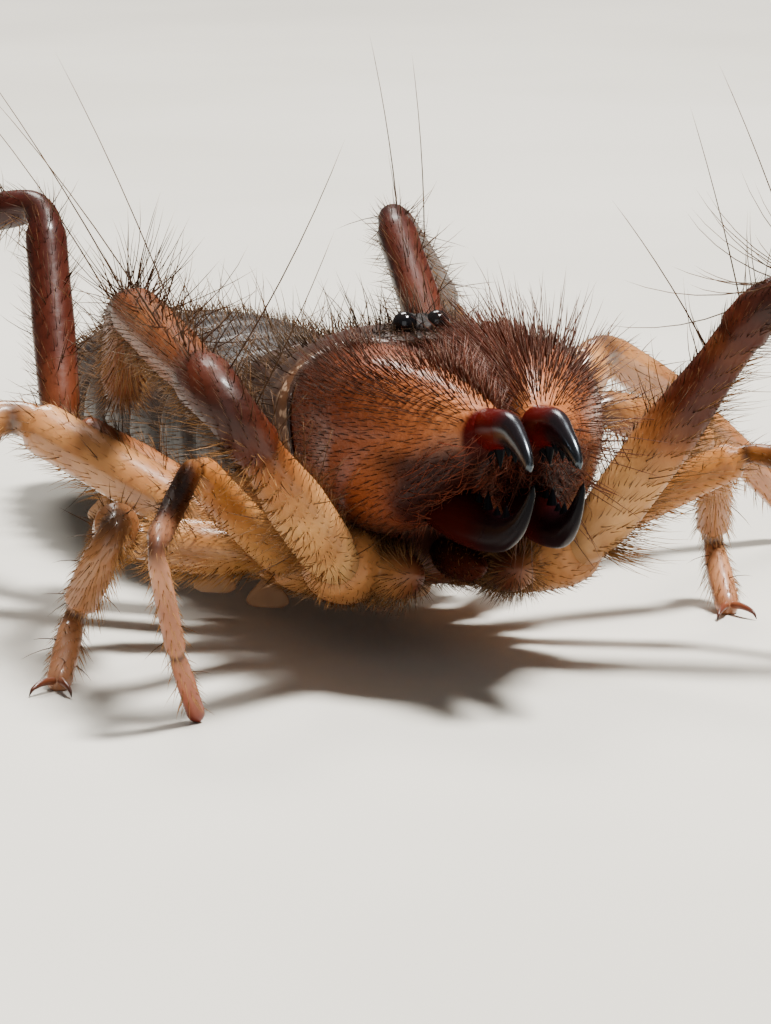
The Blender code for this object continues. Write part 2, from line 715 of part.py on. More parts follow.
def fan(middle, along, radius):
    """Racket organ that hangs from a limb: a short stalk and a thin rounded fan."""
    thin = along.cross(Vector((0.0, 0.0, 1.0))).normalized()
    wide = thin.cross(Vector((0.0, 0.0, 1.0))).normalized()
    length = radius + FAN_REACH
    rings = []
    for share, half_width in FAN_PROFILE:
        centre = middle - Vector((0.0, 0.0, 0.4 * radius + share * (length - 0.4 * radius)))
        rings.append([
            centre + wide * half_width * a + thin * FAN_HALF_THICKNESS * b
            for a, b in ((1, 1), (-1, 1), (-1, -1), (1, -1))
        ])
    return skin(rings)


def limb_sites(segments, count, shortest, longest):
    """Bristle sites spread evenly round and along some segments of a limb."""
    sites = []
    for i in range(count):
        share = (i + 0.5) / count * len(segments)
        start, way, _ = segments[int(share)][0]
        end = segments[int(share)][-1][0]
        inside = start.lerp(end, 0.12 + 0.76 * (share % 1.0))
        across = way.orthogonal().normalized()
        outward = Matrix.Rotation(i * GOLDEN_TURN + draw.uniform(-0.3, 0.3), 3, way) @ across
        sites.append((inside, outward, way, draw.uniform(shortest, longest)))
    return sites


def long_hair_sites(name, side, numbers, joints):
    """Sites of the very long hairs on some segments of a limb; they stand straight."""
    sites = []
    for segment, share, yaw, pitch, length in LONG_HAIRS.get(name, ()):
        if segment in numbers:
            inside = joints[segment].lerp(joints[segment + 1], share)
            sites.append((inside, heading(side, yaw, pitch), Vector((0.0, 0.0, 0.0)), length))
    return sites


def build_limbs():
    """All limbs, and the coxae that carry them."""
    piece_names = ("femur", "patella", "shin")
    for side_name in SIDES:
        coxa_meshes = []
        coxa_fans = []
        for limb in SEGMENTS:
            count = LIMB_SIDES[limb]
            joints = limb_joints(limb, side_name)
            segments = limb_stations(limb, side_name)
            coxa_meshes.append(tube(segments[0], count))
            groups = (slice(1, -3), slice(-3, -2), slice(-2, None))
            finish = "palp" if limb == "palp" else "hind" if limb == "leg4" else "leg"
            forms = {piece: [] for piece in piece_names}
            if limb == "leg4":
                for segment, share in FAN_PLACES:
                    middle = joints[segment].lerp(joints[segment + 1], share)
                    along = (joints[segment + 1] - joints[segment]).normalized()
                    target = coxa_fans if segment == 0 else forms["femur"]
                    target.append(fan(middle, along, SEGMENTS[limb][segment][1]))
            if limb in CLAWED:
                forms["shin"] = claw_pair(joints)
            for piece, reach, (number, shortest, longest) in zip(
                piece_names, groups, LIMB_BRISTLES[limb]
            ):
                group = segments[reach]
                numbers = range(len(segments))[reach]
                solid = tube([station for segment in group for station in segment], count)
                if piece == "shin" and limb != "palp":
                    slice_off(solid, Vector((0.0, 0.0, 0.0)), Vector((0.0, 0.0, -1.0)))
                limb_name = "%s_%s" % (limb, side_name)
                sites = long_hair_sites(limb_name, SIDES[side_name], numbers, joints)
                sites += limb_sites(group, number, shortest, longest)
                name = "%s_%s" % (limb_name, piece)
                keep(solid, name, finish, 0.4, forms[piece], sites)
        build_coxae(side_name, coxa_meshes, coxa_fans)


for each_side in SIDES:
    build_chelicera(each_side)
build_shield()
build_thorax()
build_rostrum()
build_abdomen()
build_limbs()
finish_nodes()
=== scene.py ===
# %% [markdown]
# # A sun spider at life size
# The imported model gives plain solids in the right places. This lesson dresses them: smooth skins
# over the flesh, black horn for the jaws, and a coat of bristles made as thin solid cones.
# Everything is worked out in millimetres from the driving sizes of the solids.
# The frame's eyes say where those sizes lie in the row frame.

# %% Load the frame
import math

import bpy
import numpy as np
from mathutils import Matrix, Vector
from mathutils.bvhtree import BVHTree


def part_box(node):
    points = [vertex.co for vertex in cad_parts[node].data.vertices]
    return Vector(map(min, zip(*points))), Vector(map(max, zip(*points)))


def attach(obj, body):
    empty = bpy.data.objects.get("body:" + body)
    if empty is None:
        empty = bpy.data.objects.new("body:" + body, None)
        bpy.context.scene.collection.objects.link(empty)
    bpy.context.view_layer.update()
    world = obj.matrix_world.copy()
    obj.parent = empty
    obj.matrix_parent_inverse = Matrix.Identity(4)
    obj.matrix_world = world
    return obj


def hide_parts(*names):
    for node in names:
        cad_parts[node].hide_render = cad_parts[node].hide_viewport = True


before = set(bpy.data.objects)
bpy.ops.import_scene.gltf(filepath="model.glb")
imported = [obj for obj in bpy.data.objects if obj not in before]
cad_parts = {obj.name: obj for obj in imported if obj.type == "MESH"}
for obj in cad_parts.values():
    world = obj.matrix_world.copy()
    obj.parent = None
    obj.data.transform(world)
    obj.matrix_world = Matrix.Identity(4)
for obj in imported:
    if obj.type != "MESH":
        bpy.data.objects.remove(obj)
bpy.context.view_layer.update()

METRES = 0.001
SIDES = {"right": -1, "left": 1}
EYE_CENTRE = (0.62, -0.42, 12.0)


def middle_of(node):
    """Centre of a node's box, in millimetres of the row frame."""
    low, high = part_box(node)
    return (np.array(low) + np.array(high)) / 2 / METRES


EYE_LINE = np.array((0.0, EYE_CENTRE[1], EYE_CENTRE[2]))
SHIFT = (middle_of("eye_left") + middle_of("eye_right")) / 2 - EYE_LINE
rng = np.random.default_rng(11)
print("shift to the row frame, mm:", SHIFT.round(3))

# %% [markdown]
# ## From arrays to pieces
# A skin here is a grid of rings, like hoops along a sleeve. NumPy makes the hoops quickly, and one
# helper turns any set of points and corners into a Blender mesh. Values such as "how far along
# the leg" are stored on the points, so that a material can paint by them from every side.

# %% Pieces
pieces = {}


def make_piece(name, made, finish, replaced=(), values=None):
    """Object from points in millimetres, the corners and starts of its faces, and its unwrap."""
    points, corners, starts, unwrap = made
    mesh = bpy.data.meshes.new(name)
    mesh.vertices.add(len(points))
    mesh.vertices.foreach_set("co", ((points + SHIFT) * METRES).astype(np.float32).ravel())
    mesh.loops.add(len(corners))
    mesh.loops.foreach_set("vertex_index", corners.astype(np.int32))
    mesh.polygons.add(len(starts))
    mesh.polygons.foreach_set("loop_start", starts.astype(np.int32))
    mesh.update(calc_edges=True)
    for key, numbers in (values or {}).items():
        layer = mesh.attributes.new(key, "FLOAT", "POINT")
        layer.data.foreach_set("value", np.asarray(numbers, np.float32))
    mesh.uv_layers.new(name="OFBake").data.foreach_set("uv", unwrap.astype(np.float32).ravel())
    mesh.shade_smooth()
    mesh.materials.append(finish)
    piece = bpy.data.objects.new(name, mesh)
    bpy.context.scene.collection.objects.link(piece)
    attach(piece, "root")
    if replaced:
        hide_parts(*replaced)
    pieces[name] = piece
    return piece


print("pieces so far", len(pieces))

# %% [markdown]
# ### Sleeves
# A closed skin needs quads between neighbouring rings and a fan of triangles over each end. The
# corners are worked out for all rings at once. The unwrap comes from the same numbers: round the
# ring is across, and ring by ring is upward.

# %% Sleeves
def unwrap_place(across, along):
    """Place on the unwrap of a skin: round it across, along it upward, inside a margin."""
    return np.stack([0.02 + 0.94 * across, 0.06 + 0.88 * along], 1)


def sleeve(grid):
    """Points, corners, face starts and unwrap of a closed skin through a grid of rings."""
    rows, count = grid.shape[:2]
    points = np.vstack([grid.reshape(-1, 3), grid[0].mean(0)[None], grid[-1].mean(0)[None]])
    row, step = np.meshgrid(np.arange(rows - 1), np.arange(count), indexing="ij")
    row, step = row.ravel(), step.ravel()
    after = (step + 1) % count
    quads = np.stack([row * count + step, row * count + after,
                      (row + 1) * count + after, (row + 1) * count + step], 1)
    quad_uv = np.stack([step, row, step + 1, row, step + 1, row + 1, step, row + 1], 1)
    step = np.arange(count)
    after = (step + 1) % count
    last = (rows - 1) * count
    near_cap = np.stack([after, step, np.full(count, rows * count)], 1)
    far_cap = np.stack([last + step, last + after, np.full(count, rows * count + 1)], 1)
    near_uv = np.stack([step + 1, step * 0, step, step * 0, step + 0.5, step * 0 - 1], 1)
    far_uv = np.stack([step, step * 0 + rows - 1, step + 1, step * 0 + rows - 1,
                       step + 0.5, step * 0 + rows], 1)
    corners = np.concatenate([quads.ravel(), near_cap.ravel(), far_cap.ravel()])
    unwrap = np.concatenate([quad_uv.reshape(-1, 2), near_uv.reshape(-1, 2), far_uv.reshape(-1, 2)])
    unwrap = unwrap_place(unwrap[:, 0] / count, unwrap[:, 1] / (rows - 1))
    starts = np.concatenate([np.arange(len(quads)) * 4,
                             len(quads) * 4 + np.arange(2 * count) * 3])
    spans = grid[1:] - grid[:-1]
    around = np.roll(grid, -1, 1) - grid
    middle = grid.mean(1, keepdims=True)
    outward = (np.cross(around[:-1], spans) * (grid - middle)[:-1]).sum()
    if outward < 0:
        quad_order = np.arange(len(quads) * 4).reshape(-1, 4)[:, ::-1]
        cap_order = np.arange(len(quads) * 4, len(corners)).reshape(-1, 3)[:, ::-1]
        order = np.concatenate([quad_order.ravel(), cap_order.ravel()])
        corners, unwrap = corners[order], unwrap[order]
    return points, corners, starts, unwrap


def capped(numbers):
    """Per ring point values of a grid, with the values of the two cap centres."""
    return np.concatenate([numbers.ravel(), [numbers[0].mean(), numbers[-1].mean()]])


def round_ring(per_ring, count):
    """One value for each ring, given to all its points and the cap centres."""
    return capped(np.repeat(per_ring[:, None], count, 1))


def shares_along(grid):
    """How far along a sleeve each of its points is, from 0 to 1."""
    return round_ring(np.linspace(0, 1, len(grid)), grid.shape[1])


def join_sleeves(grids):
    """One set of points, corners, starts and unwrap from the sleeves of several grids."""
    points, corners, starts, unwraps = [], [], [], []
    for some_points, some_corners, some_starts, some_unwrap in map(sleeve, grids):
        corners.append(some_corners + sum(map(len, points)))
        starts.append(some_starts + sum(map(len, corners[:-1])))
        points.append(some_points)
        unwraps.append(some_unwrap)
    return (np.vstack(points), np.concatenate(corners), np.concatenate(starts), np.vstack(unwraps))


print("a sleeve of 3 rings with 4 points each has points:", len(sleeve(np.zeros((3, 4, 3)))[0]))

# %% [markdown]
# ### Curves and rings
# The forms are given by short tables of widths and heights. A smooth curve through the rows of a
# table gives as many rings as the skin needs. The rings of the body are ovals that can be squarer
# or rounder, and those of fingers and limbs lie square to a bent middle line.

# %% Curves and rings
def smooth_rows(rows, count):
    """A table's rows drawn out to more rows, along a smooth curve through them."""
    table = np.array(rows, float)
    padded = np.vstack([2 * table[0] - table[1], table, 2 * table[-1] - table[-2]])
    places = np.linspace(0, len(table) - 1 - 1e-6, count)
    start = places.astype(int)
    t = (places - start)[:, None]
    a, b, c, d = (padded[start + i] for i in range(4))
    return 0.5 * (2 * b + (c - a) * t + (2 * a - 5 * b + 4 * c - d) * t**2
                  + (3 * b - a - 3 * c + d) * t**3)


def full_turn(count):
    """Even angles once round."""
    return np.linspace(0, math.tau, count, endpoint=False)


def unit(ways):
    """Ways scaled to length one."""
    return ways / np.maximum(np.linalg.norm(ways, axis=-1, keepdims=True), 1e-9)


def oval(y, middle, inner, outer, low, high, side, count, squareness=2.2):
    """Ring across the body, its start on the side and a quarter turn on at the top."""
    turn = full_turn(count)
    power = 2 / squareness
    across = np.sign(np.cos(turn)) * np.abs(np.cos(turn)) ** power
    upward = np.sign(np.sin(turn)) * np.abs(np.sin(turn)) ** power
    x = middle[0] + across * np.where(across > 0, outer, inner)
    z = middle[1] + upward * np.where(upward > 0, high, low)
    return np.stack([side * x, np.full(count, y), z], 1)


def step_up(value, low, high):
    """Smooth rise from 0 at low to 1 at high."""
    t = np.clip((value - low) / (high - low), 0, 1)
    return t * t * (3 - 2 * t)


def gap_to(points, way):
    """Distance from each point to the nearest of a few points."""
    flat = points.reshape(-1, 1, 3)
    return np.linalg.norm(flat - np.asarray(way)[None], axis=2).min(1).reshape(points.shape[:-1])


def rings_about(centres, first, second, count):
    """Rings about a row of centres, each spanned by two ways as long as its two radii."""
    turn = full_turn(count)[None, :, None]
    return centres[:, None] + np.cos(turn) * first[:, None] + np.sin(turn) * second[:, None]


def follow(line, radius, count):
    """Rings square to a line of points; the first point of each ring is kept on the same side."""
    tangent = unit(np.gradient(line, axis=0))
    upward = np.array((0.0, 0.0, 1.0))
    upwards = []
    for way in tangent:
        upward = unit(upward - way * (upward @ way))
        upwards.append(upward)
    upwards, radius = np.array(upwards), radius[:, None]
    return rings_about(line, upwards * radius, np.cross(tangent, upwards) * radius, count)


print("three rows drawn out to nine:", smooth_rows(((0, 1), (1, 2), (2, 1)), 9)[:, 1].round(2))

# %% [markdown]
# ## Finishes
# Horn, leathery skin and hair differ in colour, gloss and fine relief. Each finish is a node
# material: the stored values choose the broad colour, noise breaks it up, and a bump gives the
# grain. The shader's own gloss does the rest, so the finish holds from every side.

# %% Node helpers
def start_finish(name, roughness, gloss=0.5):
    """New material with its roughness and specular level set on the shader."""
    finish = bpy.data.materials.new(name)
    finish.use_nodes = True
    shader = finish.node_tree.nodes["Principled BSDF"]
    shader.inputs["Roughness"].default_value = roughness
    shader.inputs["Specular IOR Level"].default_value = gloss
    return finish, finish.node_tree, shader


def clear_coat(shader, weight, roughness):
    """Thin clear layer over a finish."""
    shader.inputs["Coat Weight"].default_value = weight
    shader.inputs["Coat Roughness"].default_value = roughness


def soft_flesh(shader):
    """Light that goes a little way into the skin, red deepest."""
    shader.inputs["Subsurface Weight"].default_value = 0.12
    shader.inputs["Subsurface Radius"].default_value = (0.0012, 0.0005, 0.0002)
    shader.inputs["Subsurface Scale"].default_value = 0.6


def stored(tree, key):
    """Value stored on the points of the mesh."""
    node = tree.nodes.new("ShaderNodeAttribute")
    node.attribute_name = key
    return node.outputs["Fac"]


def speckle(tree, per_mm, detail=4.0, stretch=(1.0, 1.0, 1.0), offset=0.0):
    """Noise with this many grains to the millimetre."""
    place = tree.nodes.new("ShaderNodeTexCoord")
    scale = tree.nodes.new("ShaderNodeMapping")
    scale.inputs["Scale"].default_value = stretch
    scale.inputs["Location"].default_value = (offset, offset, offset)
    noise = tree.nodes.new("ShaderNodeTexNoise")
    noise.inputs["Scale"].default_value = per_mm / METRES
    noise.inputs["Detail"].default_value = detail
    tree.links.new(place.outputs["Object"], scale.inputs["Vector"])
    tree.links.new(scale.outputs["Vector"], noise.inputs["Vector"])
    return noise.outputs["Fac"]


def colour_run(tree, value, stops):
    """Colour ramp over a value; each stop is a place and a linear colour."""
    node = tree.nodes.new("ShaderNodeValToRGB")
    bar = node.color_ramp.elements
    while len(bar) < len(stops):
        bar.new(1.0)
    for element, (place, colour) in zip(bar, stops):
        element.position = place
        element.color = (*colour, 1.0)
    tree.links.new(value, node.inputs["Fac"])
    return node.outputs["Color"]


def blend_colours(tree, share, first, second, kind="MIX"):
    """Mix of two colours by a share; each is a value of the tree or a plain one."""
    node = tree.nodes.new("ShaderNodeMix")
    node.data_type = "RGBA"
    node.blend_type = kind
    factor, colour_a, colour_b, mixed = 0, 6, 7, 2
    for number, given in ((factor, share), (colour_a, first), (colour_b, second)):
        socket = node.inputs[number]
        if isinstance(given, bpy.types.NodeSocket):
            tree.links.new(given, socket)
        else:
            socket.default_value = (*given, 1.0) if number != factor else given
    return node.outputs[mixed]


def level(tree, value, low, high, out_low=0.0, out_high=1.0):
    """Remap a value between two levels, held at the ends."""
    node = tree.nodes.new("ShaderNodeMapRange")
    node.inputs["From Min"].default_value = low
    node.inputs["From Max"].default_value = high
    node.inputs["To Min"].default_value = out_low
    node.inputs["To Max"].default_value = out_high
    tree.links.new(value, node.inputs["Value"])
    return node.outputs["Result"]


def relief(tree, shader, height, strength, depth_mm):
    """Bump from a height value."""
    node = tree.nodes.new("ShaderNodeBump")
    node.inputs["Strength"].default_value = strength
    node.inputs["Distance"].default_value = depth_mm * METRES
    tree.links.new(height, node.inputs["Height"])
    tree.links.new(node.outputs["Normal"], shader.inputs["Normal"])


print("materials so far", len(bpy.data.materials))

# %% [markdown]
# ## The jaw hands
# Each jaw of a sun spider is a swollen hand full of muscle, as big as the head. Its shell is
# orange brown near the fingers and redder behind, and painted shade makes it almost black
# underneath. A row of rings from back to front gives the egg shape; the same rings drive the
# solid, so the skin fits it.

# %% Shape of the hands
HAND_MIDDLE = 2.6
HAND_HEIGHT = 8.75
# Rings from back to front: place along the body, half height, half width, height of the middle
HAND_RINGS = (
    (0.9, 1.9, 1.6, 8.9),
    (0.2, 2.7, 2.15, 8.8),
    (-1.2, 3.25, 2.5, 8.75),
    (-3.2, 3.5, 2.65, 8.75),
    (-5.0, 3.4, 2.55, 8.75),
    (-6.6, 2.8, 2.2, 8.85),
    (-7.9, 2.1, 1.75, 9.0),
    (-8.9, 1.45, 1.25, 9.25),
    (-9.6, 0.9, 0.8, 9.4),
)
HAND_TAPER_START = -5.0
HAND_TAPER = 0.33
HAND_INNER_FACE = 0.17
HAND_COAT_ROOM = 0.5        # the skin lies this much lower on top than the solid, for the setae
HAND_END = ((-9.95, 0.66, 0.56, 9.5), (-10.3, 0.4, 0.32, 9.6))
FIXED_FINGER = ((1.02, -8.0, 9.35), (0.92, -10.2, 9.7), (0.87, -11.4, 9.85),
                (0.86, -12.3, 9.55), (0.88, -12.95, 9.2), (0.9, -13.45, 8.75))
FIXED_RADII = (0.84, 0.72, 0.6, 0.45, 0.33, 0.14)
FREE_FINGER = ((1.5, -6.7, 6.6), (1.32, -8.4, 6.4), (1.2, -9.9, 6.25), (1.08, -11.3, 6.3),
               (0.98, -12.4, 6.75), (0.92, -13.2, 7.5), (0.9, -13.75, 8.35))
FREE_RADII = (0.9, 0.95, 0.8, 0.6, 0.42, 0.27, 0.1)


def hand_middle(y):
    """How far out the middle of a hand lies at a place along the body."""
    return HAND_MIDDLE - HAND_TAPER * np.maximum(HAND_TAPER_START - y, 0)


def hand_grid(side, wider=0.0, rows=80, count=96):
    """Rings of one hand, from its back to its finger, wider on all sides when asked."""
    rings = []
    for y, half_height, half_width, height in smooth_rows(HAND_RINGS + HAND_END, rows):
        middle = hand_middle(y)
        inner = min(half_width, middle - HAND_INNER_FACE)
        upper = half_height - HAND_COAT_ROOM * step_up(y, -8.6, -4.5)
        rings.append(oval(y, (middle, height), inner + wider, half_width + wider,
                          half_height + wider, upper + wider, side, count))
    return np.array(rings)


def mirrored(points, side):
    """A point or a table of points set on one side."""
    return np.array(points, float) * (side, 1, 1)


print("a hand is this long, mm:", round(float(np.ptp(hand_grid(1)[..., 1])), 2))

# %% [markdown]
# ### Shell of the hands
# Up close the shell is glossy orange brown round the finger, mottled, and duller behind. Painting
# it by hand would need a picture. Instead each point keeps four values, worked out from where it
# lies: how far it is from the finger, how much painted shade it gets, how red and how shiny. The
# material reads them.

# %% Finish of the hands
def hand_finish():
    """Orange brown shell, with painted shade behind, below and round the free finger."""
    finish, tree, shader = start_finish("jaw_shell", 0.46, 0.2)
    warm = colour_run(tree, stored(tree, "from_finger"), (
        (0.0, (0.40, 0.140, 0.040)), (0.22, (0.33, 0.098, 0.029)), (0.55, (0.19, 0.046, 0.013)),
        (1.0, (0.095, 0.018, 0.005)),
    ))
    blotch = level(tree, speckle(tree, 0.7, 6.0), 0.4, 0.65, 0.0, 0.4)
    mottled = blend_colours(tree, blotch, warm, (0.55, 0.36, 0.30), "MULTIPLY")
    red = blend_colours(tree, stored(tree, "redness"), mottled, (0.045, 0.0015, 0.001))
    # Painted shade: the shell is blended to near black by the stored shade value.
    dark = blend_colours(tree, stored(tree, "painted_shade"), red, (0.018, 0.0030, 0.0018))
    tree.links.new(dark, shader.inputs["Base Color"])
    sheen = stored(tree, "sheen")
    tree.links.new(level(tree, sheen, 0.0, 1.0, 0.02, 0.45), shader.inputs["Coat Weight"])
    tree.links.new(level(tree, sheen, 0.0, 1.0, 0.05, 0.22), shader.inputs["Specular IOR Level"])
    shader.inputs["Coat Roughness"].default_value = 0.2
    relief(tree, shader, speckle(tree, 4.0, 4.0), 1.0, 0.1)
    return finish


jaw_shell = hand_finish()
print("jaw shell has nodes:", len(jaw_shell.node_tree.nodes))

# %% Hands
FINGER_ROOT = (1.0, -8.9, 9.4)


def near_free_finger(grid, close, far, side):
    """1 on the skin close to the root of the free finger, 0 from a distance on."""
    free_line = mirrored(smooth_rows(FREE_FINGER[1:4], 12), side)
    return 1 - step_up(gap_to(grid, free_line), close, far)


def hand_looks(grid, side):
    """Values that paint a hand: distance from the finger, painted shade, redness and sheen."""
    x, y, z = np.abs(grid[..., 0]), grid[..., 1], grid[..., 2]
    away = np.clip(gap_to(grid, mirrored((FINGER_ROOT,), side)) / 9.0, 0, 1)
    mouth = near_free_finger(grid, 2.2, 3.4, side)
    # Painted shade: darker below, behind, low in front, on the inner side and round the mouth.
    below = step_up(-z, -6.6, -5.3) * 0.9
    behind = step_up(y, -0.6, 0.6) * 0.5
    chin = step_up(-y, 6.2, 8.0) * step_up(-z, -9.0, -8.2)
    inward = step_up(hand_middle(y) - x, 0.5, 1.8) * 0.25
    tip = step_up(-y, 9.4, 9.65)
    painted_shade = np.maximum.reduce([mouth * 0.97, chin * 0.9, below, behind, inward])
    dull = np.maximum.reduce([0.75 * mouth, tip, 0.7 * chin])
    return {
        "from_finger": away,
        "painted_shade": np.clip(painted_shade, 0, 1),
        "redness": np.maximum.reduce([tip, 0.8 * mouth, 0.7 * chin]),
        "sheen": (1 - step_up(away, 0.5, 0.85)) * (1 - dull),
    }


hand_skins = {}
for side_name, side in SIDES.items():
    grid = hand_skins[side_name] = hand_grid(side)
    make_piece("jaw_hand_" + side_name, sleeve(grid), jaw_shell, ["chelicera_" + side_name],
               {key: capped(numbers) for key, numbers in hand_looks(grid, side).items()})
    print("hand", side_name, "rings and points round each:", grid.shape[:2])

# %% [markdown]
# ## The jaw fingers
# Every jaw ends in two curved fingers of hard horn: the upper one is fixed to the hand and the
# lower one is hinged. They are deep red at the root and black and polished beyond it, with a
# row of blunt teeth between them. A flattened ring keeps them blade-like, and the teeth are
# short cones set along the biting edge.

# %% Horn of the fingers
SHINE = {"upper": 0.9, "lower": 0.05}


def horn_finish(name, root_colour, shine):
    """Polished horn, deep red at the root and black beyond."""
    finish, tree, shader = start_finish(name, 0.27, shine)
    colour = colour_run(tree, stored(tree, "along"), (
        (0.0, root_colour), (0.3, root_colour), (0.44, (0.006, 0.0015, 0.002)),
        (1.0, (0.0018, 0.0018, 0.0024)),
    ))
    tree.links.new(colour, shader.inputs["Base Color"])
    shader.inputs["Specular Tint"].default_value = (0.7, 0.85, 1.0, 1.0)
    tree.links.new(stored(tree, "shine"), shader.inputs["Specular IOR Level"])
    relief(tree, shader, speckle(tree, 2.5, 3.0, (3.0, 0.6, 1.0)), 0.25, 0.03)
    return finish


horns = {"upper": horn_finish("upper_horn", (0.050, 0.0012, 0.0008), SHINE["upper"]),
         "lower": horn_finish("lower_horn", (0.020, 0.002, 0.0015), SHINE["lower"])}
print("horns:", sorted(horns))

# %% [markdown]
# ### Blades and teeth
# The blade is widest at its root and flattens to two thirds of its height. Its last rings close
# quickly to a point. A tooth stands where the table says, with its foot sunk in the blade, so
# that blade and teeth can stay separate closed skins in one piece.

# %% Shape of the fingers
BLADE_FLATNESS = 0.68
POINT_CLOSING = (0.75, 0.5, 0.12)
TOOTH_HEIGHT = 0.8
# Teeth: place along the body, height, radius of the foot
FIXED_TEETH = ((-9.8, 0.6, 0.34), (-10.5, 0.8, 0.34), (-11.2, 0.4, 0.28), (-11.8, 0.55, 0.28),
               (-12.4, 0.3, 0.25))
FREE_TEETH = ((-9.4, 0.4, 0.32), (-10.1, 0.7, 0.34), (-10.8, 0.35, 0.28), (-11.5, 0.5, 0.28))


def finger_rows(points, radii, rows):
    """Middle line and radius of a finger, drawn out smoothly."""
    return smooth_rows([(*point, radius) for point, radius in zip(points, radii)], rows)


def blade_grid(points, radii, side, rows=56, count=28):
    """Curved rings, narrower from side to side than in height, that close to a point."""
    table = finger_rows(points, radii, rows)
    centres = mirrored(table[:, :3], side)
    radius = np.maximum(table[:, 3], 0.02)
    radius[-3:] = radius[-3:] * POINT_CLOSING
    tangent = unit(np.gradient(centres, axis=0))
    upward = unit(np.cross(tangent, (1.0, 0.0, 0.0)))
    flat = np.interp(np.linspace(0, 1, rows), (0.0, 0.25, 0.5), (0.95, 0.85, BLADE_FLATNESS))
    return rings_about(centres, np.cross(upward, tangent) * (radius * flat)[:, None],
                       upward * radius[:, None], count)


def tooth_grids(points, radii, teeth, side, upward):
    """Blunt teeth along the biting edge of a finger."""
    table = finger_rows(points, radii, 80)
    grids = []
    for y, height, root_radius in teeth:
        x, _, z, reach = table[np.abs(table[:, 1] - y).argmin()]
        foot = np.array((side * x, y, z + upward * reach * 0.55))
        tip = np.array((side * x, y - 0.12, z + upward * (reach + height * TOOTH_HEIGHT)))
        shares = np.linspace(0, 1, 9)
        swell = (np.clip(1 - shares, 0.004, 1) ** 0.75 * root_radius)[:, None]
        grids.append(rings_about(foot + (tip - foot) * shares[:, None],
                                 swell * (0.75, 0.0, 0.0), swell * (0.0, 1.0, 0.0), 12))
    return grids


print("teeth on each jaw:", len(FIXED_TEETH), "above and", len(FREE_TEETH), "below")

# %% Fingers
TOOTH_SHINE = 0.03
for side_name, side in SIDES.items():
    for which, points, radii, teeth, upward, replaced in (
        ("upper", FIXED_FINGER, FIXED_RADII, FIXED_TEETH, -1.0, ()),
        ("lower", FREE_FINGER, FREE_RADII, FREE_TEETH, 1.0, ("chelicera_finger_" + side_name,)),
    ):
        blade = blade_grid(points, radii, side)
        made = join_sleeves([blade] + tooth_grids(points, radii, teeth, side, upward))
        along = shares_along(blade)
        shine = SHINE[which] * (0.15 + 0.85 * step_up(along, 0.3, 0.5))
        on_teeth = np.ones(len(made[0]) - len(along))
        make_piece("jaw_%s_finger_%s" % (which, side_name), made, horns[which], replaced,
                   {"along": np.concatenate([along, on_teeth]),
                    "shine": np.concatenate([shine, TOOTH_SHINE * on_teeth])})
        print(which, "finger", side_name, "points", len(made[0]))

# %% [markdown]
# ## The head shield, its rim and the back plates
# A domed shield covers the muscles of the jaws. Its front edge follows the backs of the two
# hands and shines as a pale rim. The dome is the same sleeve as in the solids, cut by the two
# hands a little enlarged, so that the edge fits them all round. The rim is a thin bead on the
# line where the enlarged hand leaves the dome.

# %% Shape of the shield
SHIELD_MIDDLE = 7.4
SHIELD_LOW = 2.0
SHIELD_FLOOR = 7.0
SHIELD_FRONT, SHIELD_BACK = -1.3, 5.5
# Rings of the dome: place along the body, half width, height over the middle, squareness
SHIELD_RINGS = (
    (-1.4, 4.95, 4.2, 2.5), (-0.6, 5.3, 4.42, 2.5), (0.8, 5.42, 4.45, 2.4), (2.4, 5.3, 4.25, 2.3),
    (4.2, 4.9, 3.8, 2.2), (5.9, 4.3, 3.1, 2.2),
)
HAND_GAP = 0.14
RIM_RADIUS = 0.15


def shield_grid(rows=90, count=180):
    """Rings of the whole dome before it is cut."""
    return np.array([
        oval(y, (0.0, SHIELD_MIDDLE), width, width, SHIELD_LOW, height, 1, count, power)
        for y, width, height, power in smooth_rows(SHIELD_RINGS, rows)
    ])


print("rings of the dome and points round each:", shield_grid().shape[:2])

# %% [markdown]
# ### Cutting with helpers
# The edge of the shield is where the enlarged hands leave the dome. Blender's Boolean finds that
# edge exactly. The dome and the hands become helper objects, the cut is worked out, its points
# are read back and the helpers go. What is left is plain points and corners, like every piece.

# %% Helpers to cut with
def temporary(grid):
    """Helper object from a grid of rings, to cut or remesh with."""
    points, corners, starts, _ = sleeve(grid)
    mesh = bpy.data.meshes.new("helper")
    faces = np.split(corners, starts[1:])
    mesh.from_pydata(points.tolist(), [], [face.tolist() for face in faces])
    helper = bpy.data.objects.new("helper", mesh)
    bpy.context.scene.collection.objects.link(helper)
    return helper


def settled(helper):
    """Points, corners and starts of a helper once its modifiers are worked out; removes it."""
    graph = bpy.context.evaluated_depsgraph_get()
    mesh = helper.evaluated_get(graph).to_mesh()
    points = np.zeros(len(mesh.vertices) * 3, np.float32)
    mesh.vertices.foreach_get("co", points)
    corners = np.zeros(len(mesh.loops), np.int32)
    mesh.loops.foreach_get("vertex_index", corners)
    starts = np.zeros(len(mesh.polygons), np.int32)
    mesh.polygons.foreach_get("loop_start", starts)
    bpy.data.objects.remove(helper, do_unlink=True)
    return points.reshape(-1, 3).astype(float), corners, starts


def cut_by(helper, cutter):
    """Add a Boolean cut to a helper."""
    cut = helper.modifiers.new("cut", "BOOLEAN")
    cut.operation = "DIFFERENCE"
    cut.solver = "EXACT"
    cut.object = cutter


def block(low, high):
    """Helper box between two corners."""
    mesh = bpy.data.meshes.new("block")
    x, y, z = zip(low, high)
    points = [(a, b, c) for a in x for b in y for c in z]
    faces = [(0, 1, 3, 2), (4, 6, 7, 5), (0, 4, 5, 1), (2, 3, 7, 6), (0, 2, 6, 4), (1, 5, 7, 3)]
    mesh.from_pydata(points, [], faces)
    helper = bpy.data.objects.new("block", mesh)
    bpy.context.scene.collection.objects.link(helper)
    return helper


